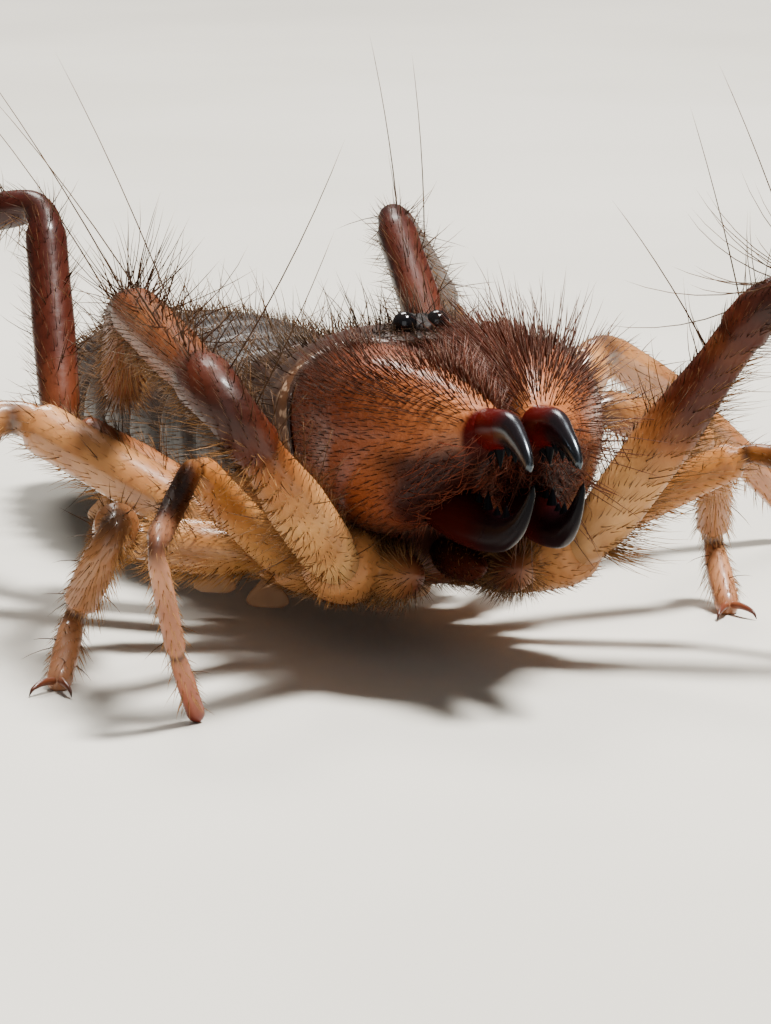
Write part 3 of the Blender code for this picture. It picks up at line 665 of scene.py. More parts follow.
def body_place(points, middle_z, start, length):
    """Place on the unwrap of a cut or remeshed body: round its long axis, and along it."""
    turn = np.arctan2(points[:, 2] - middle_z, points[:, 0]) / math.tau + 0.5
    return unwrap_place(turn, np.clip((points[:, 1] - start) / length, 0, 1))


# %% [markdown]
# ### The rim
# The rim is a knobbly bead of pale horn. Its line is read from the rings of an enlarged hand:
# on each lengthwise row of points it is the last one inside the dome. The bead thins out low on
# the flank, where the rim of a real shield runs out as well.

# %% Line and bead of the rim
RIM_GAP = 0.6 * HAND_GAP


def inside_dome(points):
    """How points lie to the dome: over 0 outside, under 0 inside."""
    table = smooth_rows(SHIELD_RINGS, 90)
    width, height, power = (np.interp(points[..., 1], table[:, 0], table[:, i]) for i in (1, 2, 3))
    depth = ((np.abs(points[..., 0]) / width) ** power
             + (np.abs(points[..., 2] - SHIELD_MIDDLE) / height) ** power - 1)
    return np.where(points[..., 1] < SHIELD_RINGS[0][0], 1.0, depth)


def rim_line(side):
    """Where the enlarged hand leaves the dome, from the flank up and over to the middle."""
    grid = hand_grid(side, RIM_GAP, 160, 160)
    depth = inside_dome(grid)
    line = []
    for column in range(grid.shape[1]):
        inside = np.nonzero((depth[:-1, column] < 0) & (depth[1:, column] >= 0)
                            & (grid[:-1, column, 2] > SHIELD_FLOOR))[0]
        if len(inside):
            line.append(grid[inside[0], column])
    line = np.array(line)
    order = np.argsort(np.arctan2(line[:, 2] - HAND_HEIGHT, np.abs(line[:, 0]) - HAND_MIDDLE))
    return line[order]


def bead_grid(line, radius, count=10):
    """Knobbly round rim along a line of points, thinner low on the flank."""
    tangent = unit(np.gradient(line, axis=0))
    across = unit(np.cross(tangent, (0.0, 1.0, 0.0)))
    beads = 0.12 * np.sin(np.arange(len(line)) * 1.9)
    thick = radius * (0.6 + 0.4 * step_up(line[:, 2], 9.4, 11.4)) * (1 + beads)
    thick[0] = thick[-1] = radius * 0.3
    thick = thick[:, None]
    return rings_about(line, across * thick, np.cross(across, tangent) * thick, count)


rim_lines = {side_name: rim_line(side) for side_name, side in SIDES.items()}
print("points along each rim:", [len(line) for line in rim_lines.values()])

# %% [markdown]
# ### Shell of the shield
# The shield is dark leather with pale flecks. Behind the hands it carries a paler, crusted
# collar, so each point keeps how near it is to the rim, out on the flank. The rim itself is pale
# horn that fades to brown low down, which is read from the height of its points.

# %% Finishes of the shield
def shield_finish():
    """Dark leathery shell, a little glossy, with pale flecks and a fine wrinkle."""
    finish, tree, shader = start_finish("shield_shell", 0.42, 0.16)
    base = colour_run(tree, speckle(tree, 0.9, 6.0), (
        (0.3, (0.010, 0.005, 0.004)), (0.55, (0.035, 0.017, 0.012)), (0.78, (0.12, 0.075, 0.055)),
    ))
    base = blend_colours(tree, stored(tree, "collar"), base, (0.085, 0.036, 0.016))
    crust = level(tree, speckle(tree, 2.6, 2.0, offset=5.0), 0.56, 0.66)
    crust = blend_colours(tree, crust, (0.0, 0.0, 0.0), stored(tree, "collar"))
    base = blend_colours(tree, crust, base, (0.36, 0.24, 0.16))
    tree.links.new(base, shader.inputs["Base Color"])
    clear_coat(shader, 0.05, 0.25)
    relief(tree, shader, speckle(tree, 1.6, 6.0, (1.0, 0.45, 1.0)), 0.5, 0.12)
    return finish


def rim_finish():
    """Pale horn of the shield's front edge."""
    finish, tree, shader = start_finish("rim_horn", 0.25, 0.5)
    base = colour_run(tree, stored(tree, "raised"), (
        (0.0, (0.030, 0.014, 0.009)), (0.5, (0.060, 0.034, 0.024)), (0.8, (0.34, 0.29, 0.26)),
    ))
    tree.links.new(base, shader.inputs["Base Color"])
    relief(tree, shader, speckle(tree, 3.0, 3.0), 0.3, 0.03)
    return finish


shield_shell = shield_finish()
rim_horn = rim_finish()
print("finishes", shield_shell.name, "and", rim_horn.name)

# %% Shield and rims
CLEAR = 9.0                 # well outside the dome on all sides
SHARP_EDGE = math.radians(50)
dome = temporary(shield_grid())
cutters = [temporary(hand_grid(side, HAND_GAP)) for side in SIDES.values()]
cutters.append(block((-CLEAR, -CLEAR, 0), (CLEAR, CLEAR, SHIELD_FLOOR)))
cutters.append(block((-CLEAR, SHIELD_BACK, 0), (CLEAR, CLEAR, 2 * CLEAR)))
for cutter in cutters:
    cut_by(dome, cutter)
points, corners, starts = settled(dome)
for cutter in cutters:
    bpy.data.objects.remove(cutter, do_unlink=True)
unwrap = body_place(points, SHIELD_MIDDLE, SHIELD_FRONT, 7.2)[corners]
collar = 1 - step_up(gap_to(points, np.vstack(list(rim_lines.values()))), 0.4, 1.3)
collar = collar * step_up(np.abs(points[:, 0]), 3.4, 4.2)
shield_skin = make_piece("head_shield_skin", (points, corners, starts, unwrap), shield_shell,
                         ["head_shield"], {"collar": collar})
shield_skin.data.set_sharp_from_angle(angle=SHARP_EDGE)
for side_name, line in rim_lines.items():
    made = sleeve(bead_grid(line, RIM_RADIUS))
    make_piece("shield_rim_" + side_name, made, rim_horn, (),
               {"raised": step_up(made[0][:, 2], 9.4, 11.8)})
print("shield points", len(points), "rim points", len(made[0]))

# %% [markdown]
# ## The eyes and their mound
# Two small black eyes sit on a dark knob at the front edge of the shield. Real ones are wet
# black beads, so each is a fine ball with a clear coat, and the knob is lumpy so that the light
# breaks up between them.

# %% Eyes and mound
EYE_RADIUS = 0.46
MOUND_CENTRE = (0.0, -0.1, 11.7)
MOUND_SIZE = (1.05, 0.75, 0.62)


def ball_grid(centre, size, rows=28, count=40):
    """Rings of a ball or egg."""
    lift = np.linspace(-math.pi / 2, math.pi / 2, rows + 2)[1:-1, None]
    x, y, z = np.eye(3) * size
    flat = np.cos(lift)
    return rings_about(np.array(centre) + np.sin(lift) * z, flat * x, flat * y, count)


def eye_finish():
    """Wet black bead."""
    finish, tree, shader = start_finish("eye_bead", 0.1, 0.4)
    base = colour_run(tree, speckle(tree, 1.5, 2.0), (
        (0.3, (0.002, 0.002, 0.003)), (0.8, (0.010, 0.007, 0.006)),
    ))
    tree.links.new(base, shader.inputs["Base Color"])
    clear_coat(shader, 0.2, 0.04)
    return finish


def mound_finish():
    """Black lumpy knob."""
    finish, tree, shader = start_finish("mound_shell", 0.5, 0.1)
    base = colour_run(tree, speckle(tree, 2.2, 4.0), (
        (0.35, (0.003, 0.002, 0.002)), (0.7, (0.014, 0.008, 0.007)),
    ))
    tree.links.new(base, shader.inputs["Base Color"])
    relief(tree, shader, speckle(tree, 2.4, 4.0), 0.7, 0.1)
    return finish


eye_bead = eye_finish()
for side_name, side in SIDES.items():
    eye = ball_grid(mirrored(EYE_CENTRE, side), EYE_RADIUS)
    make_piece("eye_bead_" + side_name, sleeve(eye), eye_bead, ["eye_" + side_name])
mound = ball_grid(MOUND_CENTRE, MOUND_SIZE, 36, 56)
lumps = sum(np.sin(mound * pitch + phase).prod(-1) for pitch, phase in ((7.0, 0.4), (11.0, 1.3)))
mound = mound + (mound - MOUND_CENTRE) * (0.05 * lumps)[..., None]
make_piece("eye_mound", sleeve(mound), mound_finish())
print("eye width, mm:", 2 * EYE_RADIUS, "mound rings and points round each:", mound.shape[:2])

# %% [markdown]
# ## The back plates and the abdomen
# Behind the shield lie two narrow plates, then the long soft abdomen of ten rings. Each ring
# has a darker plate on its back and grey wrinkled skin at its sides, with a fold between
# rings. A sleeve of many hoops takes the folds as small dips of its radius.

# %% Back plates
SHIELD_GAP = 0.3
THORAX_BACK = 10.5
THORAX_MIDDLE = 7.2
THORAX_LOW = 1.6
# Share of the length, half width, height of the top
THORAX_ROWS = ((0.0, 3.7, 10.0), (0.12, 4.15, 10.5), (0.42, 4.1, 10.4), (0.5, 3.8, 10.0),
               (0.58, 4.1, 10.3), (0.88, 4.0, 10.0), (1.0, 3.5, 9.4))
thorax_start = SHIELD_BACK + SHIELD_GAP
thorax = np.array([
    oval(thorax_start + share * (THORAX_BACK - thorax_start), (0.0, THORAX_MIDDLE), width, width,
         THORAX_LOW, top - THORAX_MIDDLE, 1, 90)
    for share, width, top in smooth_rows(THORAX_ROWS, 60)
])
make_piece("thorax_skin", sleeve(thorax), shield_shell, ["thorax_plates"])
print("plates from", thorax_start, "to", THORAX_BACK, "mm")

# %% [markdown]
# ### The abdomen
# Ten rings give ten folds. For each hoop the distance to the nearest fold is known, and a bell
# curve of it makes the dip. The same numbers are kept on the points, so that the finish can paint
# the folds dark, the plates glossy and the belly paler, and so that hair stays out of the folds.

# %% Shape of the abdomen
ABDOMEN_START = THORAX_BACK + SHIELD_GAP
ABDOMEN_LENGTH = 27.5
ABDOMEN_SEGMENTS = 10
FOLD_DEPTH = 0.075
FOLD_WIDTH = 0.11
PLATE_RISE = 0.012
RINGS_EACH = 14


def abdomen_size(share):
    """Half width, half height and centre height at a share of the abdomen's length."""
    width = 5.2 * np.sin(math.pi * (0.17 + 0.76 * share)) ** 0.6
    return width, 0.76 * width, 5.9 - 2.0 * share**1.5


def abdomen_grid(count=120):
    """Rings of the abdomen with, for each point, its plate, fold and belly values."""
    places = np.linspace(0, ABDOMEN_SEGMENTS, ABDOMEN_SEGMENTS * RINGS_EACH + 1)
    width, height, centre = abdomen_size(places / ABDOMEN_SEGMENTS)
    from_fold = np.abs(places - np.round(places))
    fold = np.exp(-((from_fold / FOLD_WIDTH) ** 2))
    fold[-1] = fold[0] = 0.3
    closing = np.interp(places, (9.4, 9.7, 9.85, 9.95, 10.0), (1.0, 0.93, 0.8, 0.62, 0.42))
    turn = full_turn(count)
    on_back = step_up(np.sin(turn), 0.45, 0.6)
    plate = on_back[None] * step_up(from_fold, 0.08, 0.16)[:, None]
    along = ABDOMEN_START + places * ABDOMEN_LENGTH / ABDOMEN_SEGMENTS
    grid = np.array([oval(y, (0.0, z), w, w, h, h, 1, count)
                     for y, w, h, z in zip(along, width, height, centre)])
    middle = np.stack([np.zeros(len(places)), along, centre], 1)[:, None]
    dips = (1 - FOLD_DEPTH * fold * closing) * closing
    swell = dips[:, None] * (1 + PLATE_RISE * plate)
    grid = middle + (grid - middle) * swell[..., None]
    lower = step_up(-np.sin(turn), 0.1, 0.8)[None] * np.ones(len(places))[:, None]
    return grid, plate, np.repeat(fold[:, None], count, 1), lower


abdomen, plate, fold, lower = abdomen_grid()
print("abdomen rings and points round each:", abdomen.shape[:2])

# %% Skin of the abdomen
END_SLIT_WIDTH = 0.18
END_SLIT_START = (37.6, 38.0)


def abdomen_finish():
    """Grey wrinkled skin with glossy dark plates on the back and a paler belly."""
    finish, tree, shader = start_finish("abdomen_skin", 0.42, 0.32)
    soft = colour_run(tree, speckle(tree, 0.8, 6.0), (
        (0.3, (0.014, 0.009, 0.008)), (0.7, (0.055, 0.038, 0.032)),
    ))
    hard = colour_run(tree, speckle(tree, 0.6, 6.0, offset=3.0), (
        (0.3, (0.005, 0.0035, 0.004)), (0.7, (0.018, 0.012, 0.012)),
    ))
    pale = blend_colours(tree, stored(tree, "lower"), soft, (0.11, 0.055, 0.026))
    plated = blend_colours(tree, stored(tree, "plate"), pale, hard)
    folded = blend_colours(tree, level(tree, stored(tree, "fold"), 0.0, 1.0, 0.0, 0.7), plated,
                           (0.006, 0.003, 0.003))
    tree.links.new(folded, shader.inputs["Base Color"])
    clear_coat(shader, 0.08, 0.25)
    relief(tree, shader, speckle(tree, 1.3, 6.0, (0.5, 1.6, 0.5)), 0.55, 0.16)
    return finish


slit = np.exp(-((abdomen[..., 0] / END_SLIT_WIDTH) ** 2))
slit = slit * step_up(abdomen[..., 1], *END_SLIT_START)
make_piece("abdomen_skin", sleeve(abdomen), abdomen_finish(),
           ["abdomen_front", "abdomen_middle", "abdomen_tail"],
           {"plate": capped(plate), "fold": capped(np.maximum(fold, slit)), "lower": capped(lower)})
print("abdomen from", ABDOMEN_START, "to", ABDOMEN_START + ABDOMEN_LENGTH, "mm")

# %% [markdown]
# ### Soft skin in the slits
# Shield, plates and abdomen are separate hard parts. On the animal a soft skin joins them, and
# without it one could look through the slits. Two short dark sleeves inside the slits do this.

# %% Soft skin between the plates
# Rings of each: place along the body, half width, height of the middle, and how far it reaches
# below and above the middle
MEMBRANES = (
    ((5.3, 3.7, 7.2, 1.5, 2.9), (5.5, 3.95, 7.2, 1.5, 3.1), (5.7, 3.9, 7.2, 1.5, 3.05),
     (6.0, 3.6, 7.2, 1.4, 2.7)),
    ((10.2, 3.0, 6.5, 2.0, 2.0), (10.5, 3.25, 6.5, 2.2, 2.1), (10.8, 3.25, 6.4, 2.3, 2.1),
     (11.2, 3.0, 6.3, 2.2, 1.9)),
)
membranes = [
    np.array([oval(y, (0.0, z), width, width, low, high, 1, 80)
              for y, width, z, low, high in smooth_rows(rows, 16)])
    for rows in MEMBRANES
]
make_piece("joint_membranes", join_sleeves(membranes), shield_shell)
print("soft skins", len(membranes))

# %% [markdown]
# ## The limbs
# A sun spider has two leg-like feelers, two thin front legs and six walking legs. Each limb is
# one skin along its whole length, so no seam shows: the sleeve follows the limb's bent middle
# line, swells in each segment and narrows at each joint. The lengths and angles are those of
# the solids, and each point keeps how far along the limb it lies, for colour and hair.

# %% Lengths and angles of the limbs
# Length and radius of each segment, from the coxa to the foot
SEGMENTS = {
    "palp": ((5.3, 1.5), (11.2, 1.15), (14.0, 1.05), (10.5, 0.95), (3.0, 0.8)),
    "leg1": ((4.4, 1.15), (8.0, 0.75), (7.6, 0.45), (4.4, 0.38), (3.0, 0.34)),
    "leg2": ((4.1, 1.25), (5.4, 1.05), (6.0, 0.85), (4.4, 0.68), (3.5, 0.5)),
    "leg3": ((4.3, 1.4), (9.6, 1.05), (7.4, 0.85), (6.6, 0.66), (3.8, 0.46)),
    "leg4": ((4.7, 1.6), (6.5, 1.1), (9.6, 0.85), (12.0, 0.8), (11.0, 0.62), (5.0, 0.42)),
}
# Inner end of each coxa: how far out, place along the body, height
COXA_STARTS = {
    "palp": (2.4, 0.1, 3.4),
    "leg1": (1.3, 1.8, 3.0),
    "leg2": (1.2, 3.0, 2.9),
    "leg3": (1.2, 5.1, 2.9),
    "leg4": (1.3, 7.0, 3.0),
}
# Yaw and pitch of each segment in degrees; the last one of a walking leg comes down to the floor
ANGLES = {
    "palp_right": ((64, 10), (46, 38), (-94, 6), (-106, -24), (-106, -12)),
    "palp_left": ((64, 10), (33, 55), (25, -8), (45, -42), (50, -30)),
    "leg1_right": ((28, 8), (43, 34), (62, -11), (-132, -66), (-132, None)),
    "leg1_left": ((28, 8), (30, 27), (52, -6), (20, -58), (20, None)),
    "leg2_right": ((12, 10), (-20, 5), (75, 17), (-60, -60), (62, None)),
    "leg2_left": ((12, 10), (0, 62), (-12, -22), (-70, -62), (100, None)),
    "leg3_right": ((-6, 11), (-45, 24), (5, -18), (-10, -38), (-10, None)),
    "leg3_left": ((-6, 11), (-41, 34), (-30, -28), (-20, -40), (-20, None)),
    "leg4_right": ((-30, 14), (-51, 21), (-100, 56), (-58, -12), (-58, -60), (-58, None)),
    "leg4_left": ((-30, 14), (-79, 40), (-83, 29), (-58, -25), (-50, -35), (-50, None)),
}
SOLE_AXIS_HEIGHT = 0.12


def heading(side, yaw, pitch):
    """Way of a limb segment from its yaw and pitch in degrees."""
    flat = math.cos(math.radians(pitch))
    return np.array((side * flat * math.cos(math.radians(yaw)),
                     -flat * math.sin(math.radians(yaw)), math.sin(math.radians(pitch))))


def limb_joints(limb, side_name):
    """Joints of a limb from the inner end of its coxa to its tip."""
    side = SIDES[side_name]
    inward, y, z = COXA_STARTS[limb]
    joints = [np.array((side * inward, y, z))]
    for (length, _), (yaw, pitch) in zip(SEGMENTS[limb], ANGLES[limb + "_" + side_name]):
        if pitch is None:
            pitch = -math.degrees(math.asin((joints[-1][2] - SOLE_AXIS_HEIGHT) / length))
        joints.append(joints[-1] + heading(side, yaw, pitch) * length)
    return joints


print("right feeler, mm:", [joint.round(1).tolist() for joint in limb_joints("palp", "right")])

# %% [markdown]
# ### Bent middle lines
# A limb drawn straight from joint to joint would break at each knee. Here every joint is an arc
# that just touches both segments. The radius is read from one table of swelling for all segments
# and narrows at each joint. The last rings shrink, so that the foot ends round.

# %% Middle lines of the limbs
JOINT_WAIST = 0.84
JOINT_CREASE = 0.9
JOINT_SHARE = 0.05
BEND_STEPS = 7
RUN_STEPS = 26
# Share of a segment's run and share of its radius
SWELLING = ((0.0, 0.88), (0.06, 0.93), (0.16, 0.95), (0.45, 1.0), (0.75, 0.96), (0.92, 0.97),
            (1.0, 0.9))
# Reach past the last joint and share of the radius
TIP_ROUNDING = ((-0.9, 0.97), (-0.4, 0.86), (-0.1, 0.68), (0.1, 0.48), (0.22, 0.2))


def bend_points(joint, before, after, radius):
    """Points along the arc that rounds one joint."""
    angle = math.acos(float(np.clip(before @ after, -1, 1)))
    reach = radius * (0.5 + 1.15 * math.tan(angle / 2))
    arc_radius = reach / math.tan(angle / 2)
    axis = unit(np.cross(before, after))
    start = joint - before * reach
    centre = start + np.cross(axis, before) * arc_radius
    points = []
    for share in np.linspace(0, 1, BEND_STEPS):
        turn = np.array(Matrix.Rotation(angle * share, 3, Vector(axis)))
        points.append(centre + turn @ (start - centre))
    return points


def at_joint(share):
    """Share of the waist's radius, from the crease of a joint to the end of its arc."""
    return JOINT_CREASE + (1 - JOINT_CREASE) * share


def limb_line(limb, side_name):
    """Middle line of a limb from its first free joint, its radius and how far along each point is.

    The whole part of "along" is the segment and the rest is the share of that segment.
    """
    joints = limb_joints(limb, side_name)
    radii = [radius for _, radius in SEGMENTS[limb]]
    runs = [unit(b - a) for a, b in zip(joints, joints[1:])]
    waists = {i: JOINT_WAIST * min(radii[i - 1], radii[i]) for i in range(1, len(runs))}
    arcs = {i: bend_points(joints[i], runs[i - 1], runs[i], waist) for i, waist in waists.items()}
    half = BEND_STEPS // 2
    line = [(joints[1] - runs[0] * radii[1] * 1.3, waists[1] * 0.9, 0.92)]
    for i in arcs:
        for step, point in enumerate(arcs[i][half:]):
            share = step / half
            line.append((point, waists[i] * at_joint(share), i + JOINT_SHARE * share))
        start = arcs[i][-1]
        end = arcs[i + 1][0] if i + 1 in arcs else joints[i + 1]
        for step in range(1, RUN_STEPS):
            share = step / RUN_STEPS
            swell = np.interp(share, *zip(*SWELLING))
            line.append((start + (end - start) * share, radii[i] * swell,
                         i + JOINT_SHARE + (1 - 2 * JOINT_SHARE) * share))
        for step, point in enumerate(arcs.get(i + 1, ())[:half]):
            share = 1 - step / half
            line.append((point, waists[i + 1] * at_joint(share), i + 1 - JOINT_SHARE * share))
    while (joints[-1] - line[-1][0]) @ runs[-1] < radii[-1]:
        line.pop()
    for reach, shrink in TIP_ROUNDING:
        line.append((joints[-1] + runs[-1] * reach * radii[-1], radii[-1] * shrink, len(runs)))
    return tuple(np.array(column) for column in zip(*line))


print("points along the right feeler:", len(limb_line("palp", "right")[0]))

# %% [markdown]
# ## Limb colours
# The feelers run from pale yellow at the root through amber to red brown at the knee. The thin
# front legs are amber with a pink shin, and their near black middle is painted shade. The hind
# legs are purple brown, darkened further with painted shade. A colour ramp over "how far along"
# paints each kind, and every joint gets a dark crease.

# %% Finishes of the limbs
# How far along the limb, and the colour there
LIMB_COLOURS = {
    "palp": ((1.0, (0.50, 0.28, 0.115)), (1.4, (0.52, 0.27, 0.100)), (1.75, (0.29, 0.105, 0.028)),
             (1.93, (0.070, 0.013, 0.003)), (2.1, (0.060, 0.010, 0.003)),
             (2.3, (0.17, 0.050, 0.014)), (2.7, (0.17, 0.055, 0.017)),
             (3.0, (0.10, 0.024, 0.008)), (3.3, (0.13, 0.040, 0.013)),
             (4.0, (0.22, 0.080, 0.030)), (5.0, (0.34, 0.17, 0.09))),
    # The front legs' near black middle, from 2.2 to 2.75, is painted shade.
    "leg1": ((1.0, (0.50, 0.25, 0.085)), (1.9, (0.36, 0.14, 0.033)), (2.2, (0.050, 0.012, 0.002)),
             (2.75, (0.026, 0.006, 0.001)), (3.1, (0.36, 0.16, 0.085)), (4.0, (0.40, 0.18, 0.10)),
             (4.5, (0.32, 0.10, 0.055)), (5.0, (0.17, 0.035, 0.022))),
    "leg2": ((1.0, (0.46, 0.22, 0.060)), (1.9, (0.44, 0.21, 0.070)), (2.2, (0.30, 0.12, 0.040)),
             (3.0, (0.36, 0.155, 0.058)), (3.4, (0.42, 0.20, 0.085)), (4.0, (0.38, 0.17, 0.075)),
             (5.0, (0.40, 0.19, 0.10))),
    "leg3": ((1.0, (0.44, 0.20, 0.065)), (2.0, (0.44, 0.20, 0.070)), (3.0, (0.36, 0.15, 0.055)),
             (4.0, (0.34, 0.14, 0.065)), (5.0, (0.24, 0.08, 0.04))),
    # The hind legs' darkest browns, from 2.3 on, are purple brown darkened with painted shade.
    "leg4": ((1.0, (0.34, 0.14, 0.050)), (1.9, (0.18, 0.052, 0.018)), (2.3, (0.070, 0.015, 0.007)),
             (3.0, (0.040, 0.007, 0.004)), (4.0, (0.026, 0.005, 0.003)),
             (5.0, (0.030, 0.006, 0.004)), (6.0, (0.034, 0.008, 0.006))),
}
# Roughness, gloss and clear coat
LIMB_GLOSS = {"palp": (0.46, 0.15, 0.15), "leg1": (0.42, 0.15, 0.25), "leg2": (0.42, 0.2, 0.6),
              "leg3": (0.42, 0.2, 0.9), "leg4": (0.46, 0.1, 0.3)}


def limb_finish(limb):
    """Amber horn of one kind of limb, dark in its creases, with fine grain."""
    roughness, gloss, coat = LIMB_GLOSS[limb]
    finish, tree, shader = start_finish(limb + "_shell", roughness, gloss)
    clear_coat(shader, coat, 0.2)
    colours = LIMB_COLOURS[limb]
    last = colours[-1][0]
    run = level(tree, stored(tree, "along"), 1.0, last)
    base = colour_run(tree, run, [((place - 1) / (last - 1), colour) for place, colour in colours])
    blotch = level(tree, speckle(tree, 0.5, 6.0), 0.4, 0.65, 0.0, 0.6)
    mottled = blend_colours(tree, blotch, base, (0.50, 0.34, 0.26), "MULTIPLY")
    creased = blend_colours(tree, stored(tree, "crease"), mottled, (0.020, 0.005, 0.003))
    tree.links.new(creased, shader.inputs["Base Color"])
    soft_flesh(shader)
    relief(tree, shader, speckle(tree, 3.0, 4.0), 0.5, 0.06)
    return finish


limb_shells = {limb: limb_finish(limb) for limb in SEGMENTS}
print("limb finishes:", sorted(limb_shells))

# %% [markdown]
# ### Skins of the limbs
# Each skin follows its middle line, a little inside the solid to leave room for the hair. The
# first free segment of a feeler thins towards its knee, which swells again. On the left feeler
# the knee colour starts earlier, so the place that the paint reads is shifted there.

# %% Skins of the limbs
# How far along a feeler, and share of its radius
PALP_THINNING = ((1.0, 1.0), (1.45, 0.95), (1.78, 0.74), (1.88, 0.73), (1.94, 0.98), (2.02, 1.2),
                 (2.1, 1.1), (2.2, 0.9), (2.5, 0.96), (9.0, 1.0))
POINTS_ROUND = 40
SKIN_SHARE = 0.97
CREASE_WIDTH = 0.035
limb_skins = {}
for name in ANGLES:
    limb, side_name = name.split("_")
    line, radius, along = limb_line(limb, side_name)
    if limb == "palp":
        radius = radius * np.interp(along, *zip(*PALP_THINNING))
    grid = follow(line, radius * SKIN_SHARE, POINTS_ROUND)
    grid[..., 2] = np.maximum(grid[..., 2], 0.0)
    crease = np.exp(-(((along - np.round(along)) / CREASE_WIDTH) ** 2))
    crease = crease * (along < len(SEGMENTS[limb]) - 0.5) * np.where(along < 1.5, 0.4, 1.0)
    painted = along
    if name == "palp_left":
        painted = along + 0.36 * step_up(along, 1.15, 1.5) * (1 - step_up(along, 1.8, 2.0))
    make_piece(name + "_skin", sleeve(grid), limb_shells[limb],
               [name + "_" + part for part in ("femur", "patella", "shin")],
               {"along": round_ring(painted, POINTS_ROUND),
                "crease": 0.8 * round_ring(crease, POINTS_ROUND)})
    limb_skins[name] = (grid, along)
print("limb skins", len(limb_skins))

# %% [markdown]
# ## The underside
# Ten coxae, the first segments of the limbs, lie packed like fingers under the head and
# carry it. Their skins flow into each other, so the parts are made as sleeves, put in one
# mesh and remeshed into a single surface that is then smoothed. The short lobes in front are
# where the feelers help to hold food.

# %% Sleeves of the underside
# Middle line and radius of a front lobe
LOBE_LINE = ((2.3, -1.5, 3.6, 0.9), (2.2, -3.2, 3.6, 0.95), (2.1, -4.3, 3.7, 0.85),
             (2.0, -5.0, 3.8, 0.5), (1.95, -5.3, 3.85, 0.12))
FLANK_MIDDLE = 4.2
# Rings of the belly: place along the body, half width, reach below and above the middle
FLANK_RINGS = (
    (-2.3, 1.7, 0.9, 0.9), (-1.6, 2.6, 1.4, 1.6), (1.0, 3.9, 1.9, 2.6),
    (5.0, 4.4, 1.9, 2.6), (8.6, 4.2, 1.8, 2.6), (10.5, 3.3, 1.4, 2.3),
)


def coxa_grid(limb, side_name):
    """Sleeve of one coxa, from inside the body to the first free joint."""
    joints = limb_joints(limb, side_name)
    radius = SEGMENTS[limb][0][1]
    way = joints[1] - joints[0]
    shares = np.linspace(0, 1.0, 30)
    swell = np.interp(shares, (0.0, 0.15, 0.45, 0.8, 1.0), (0.55, 0.95, 1.0, 0.94, 0.72)) * radius
    waist = JOINT_WAIST * min(radius, SEGMENTS[limb][1][1])
    swell[-1] = waist * 0.9
    return follow(joints[0] + way * shares[:, None], swell, 32)


flank = np.array([
    oval(y, (0.0, FLANK_MIDDLE), width, width, low, high, 1, 64, 2.4)
    for y, width, low, high in smooth_rows(FLANK_RINGS, 50)
])
under_grids = {"flank": flank}
for side_name, side in SIDES.items():
    for limb in SEGMENTS:
        under_grids["coxa_%s_%s" % (limb, side_name)] = coxa_grid(limb, side_name)
    lobe = smooth_rows(LOBE_LINE, 28)
    under_grids["lobe_" + side_name] = follow(mirrored(lobe[:, :3], side), lobe[:, 3], 28)
print("sleeves of the underside:", len(under_grids))

# %% [markdown]
# ### One surface from many sleeves
# A voxel remesh drops all that lies inside and wraps what is left in even quads. It leaves small
# steps, so a smoothing follows. Joining goes through Blender's own command, which works on the
# selected objects.

# %% Remesh of the underside
REMESH_SIZE = 0.17
helpers = [temporary(grid) for grid in under_grids.values()]
underside = helpers[0]
bpy.ops.object.select_all(action="DESELECT")
for helper in helpers:
    helper.select_set(True)
bpy.context.view_layer.objects.active = underside
bpy.ops.object.join()
remesh = underside.modifiers.new("remesh", "REMESH")
remesh.mode = "VOXEL"
remesh.voxel_size = REMESH_SIZE
soften = underside.modifiers.new("soften", "SMOOTH")
soften.factor = 0.5
soften.iterations = 6
points, corners, starts = settled(underside)
print("underside points", len(points))

# %% Skin of the underside
UNDER_START, UNDER_LENGTH = -5.6, 17.0


def underside_finish():
    """Tan coxae, red brown and darker with painted shade towards the middle of the belly."""
    finish, tree, shader = start_finish("coxa_skin", 0.46, 0.25)
    base = blend_colours(tree, stored(tree, "inner"), (0.40, 0.18, 0.060), (0.075, 0.016, 0.007))
    blotch = level(tree, speckle(tree, 0.5, 5.0), 0.35, 0.7, 0.0, 0.7)
    mottled = blend_colours(tree, blotch, base, (0.6, 0.45, 0.35), "MULTIPLY")
    tree.links.new(mottled, shader.inputs["Base Color"])
    soft_flesh(shader)
    relief(tree, shader, speckle(tree, 2.0, 5.0), 0.4, 0.08)
    return finish


def mid_belly_shade(points):
    """Share of painted shade: 1 near the middle of the underside, 0 out on the coxae."""
    return step_up(-np.abs(points[..., 0]), -3.6, -1.6) * 0.95


unwrap = body_place(points, FLANK_MIDDLE, UNDER_START, UNDER_LENGTH)[corners]
underside_skin = make_piece("underside_skin", (points, corners, starts, unwrap), underside_finish(),
                            ["coxae_left", "coxae_right"], {"inner": mid_belly_shade(points)})
print("share of the points near the middle:", round(float((mid_belly_shade(points) > 0.5).mean()), 2))

# %% [markdown]
# ## Beak, claws and racket organs
# Between the jaws sits a small hard beak. The six walking feet end in two slim curved claws,
# and under the first segments of the hind legs hang five pairs of pale fans on short stalks,
# which taste the ground. All are small sleeves, so each is a few lines.

# %% Shape of the claws
CLAW_LENGTH = 1.5
CLAW_ARCH = 0.42
CLAW_SPREAD = math.radians(30)
CLAW_RADIUS = 0.15
CLAW_TIP_HEIGHT = 0.06
# Share of the length, height of the middle, share of the radius
CLAW_BEND = ((0.45, CLAW_ARCH, 0.85), (0.85, CLAW_ARCH * 0.7, 0.5), (1.0, CLAW_TIP_HEIGHT, 0.1))


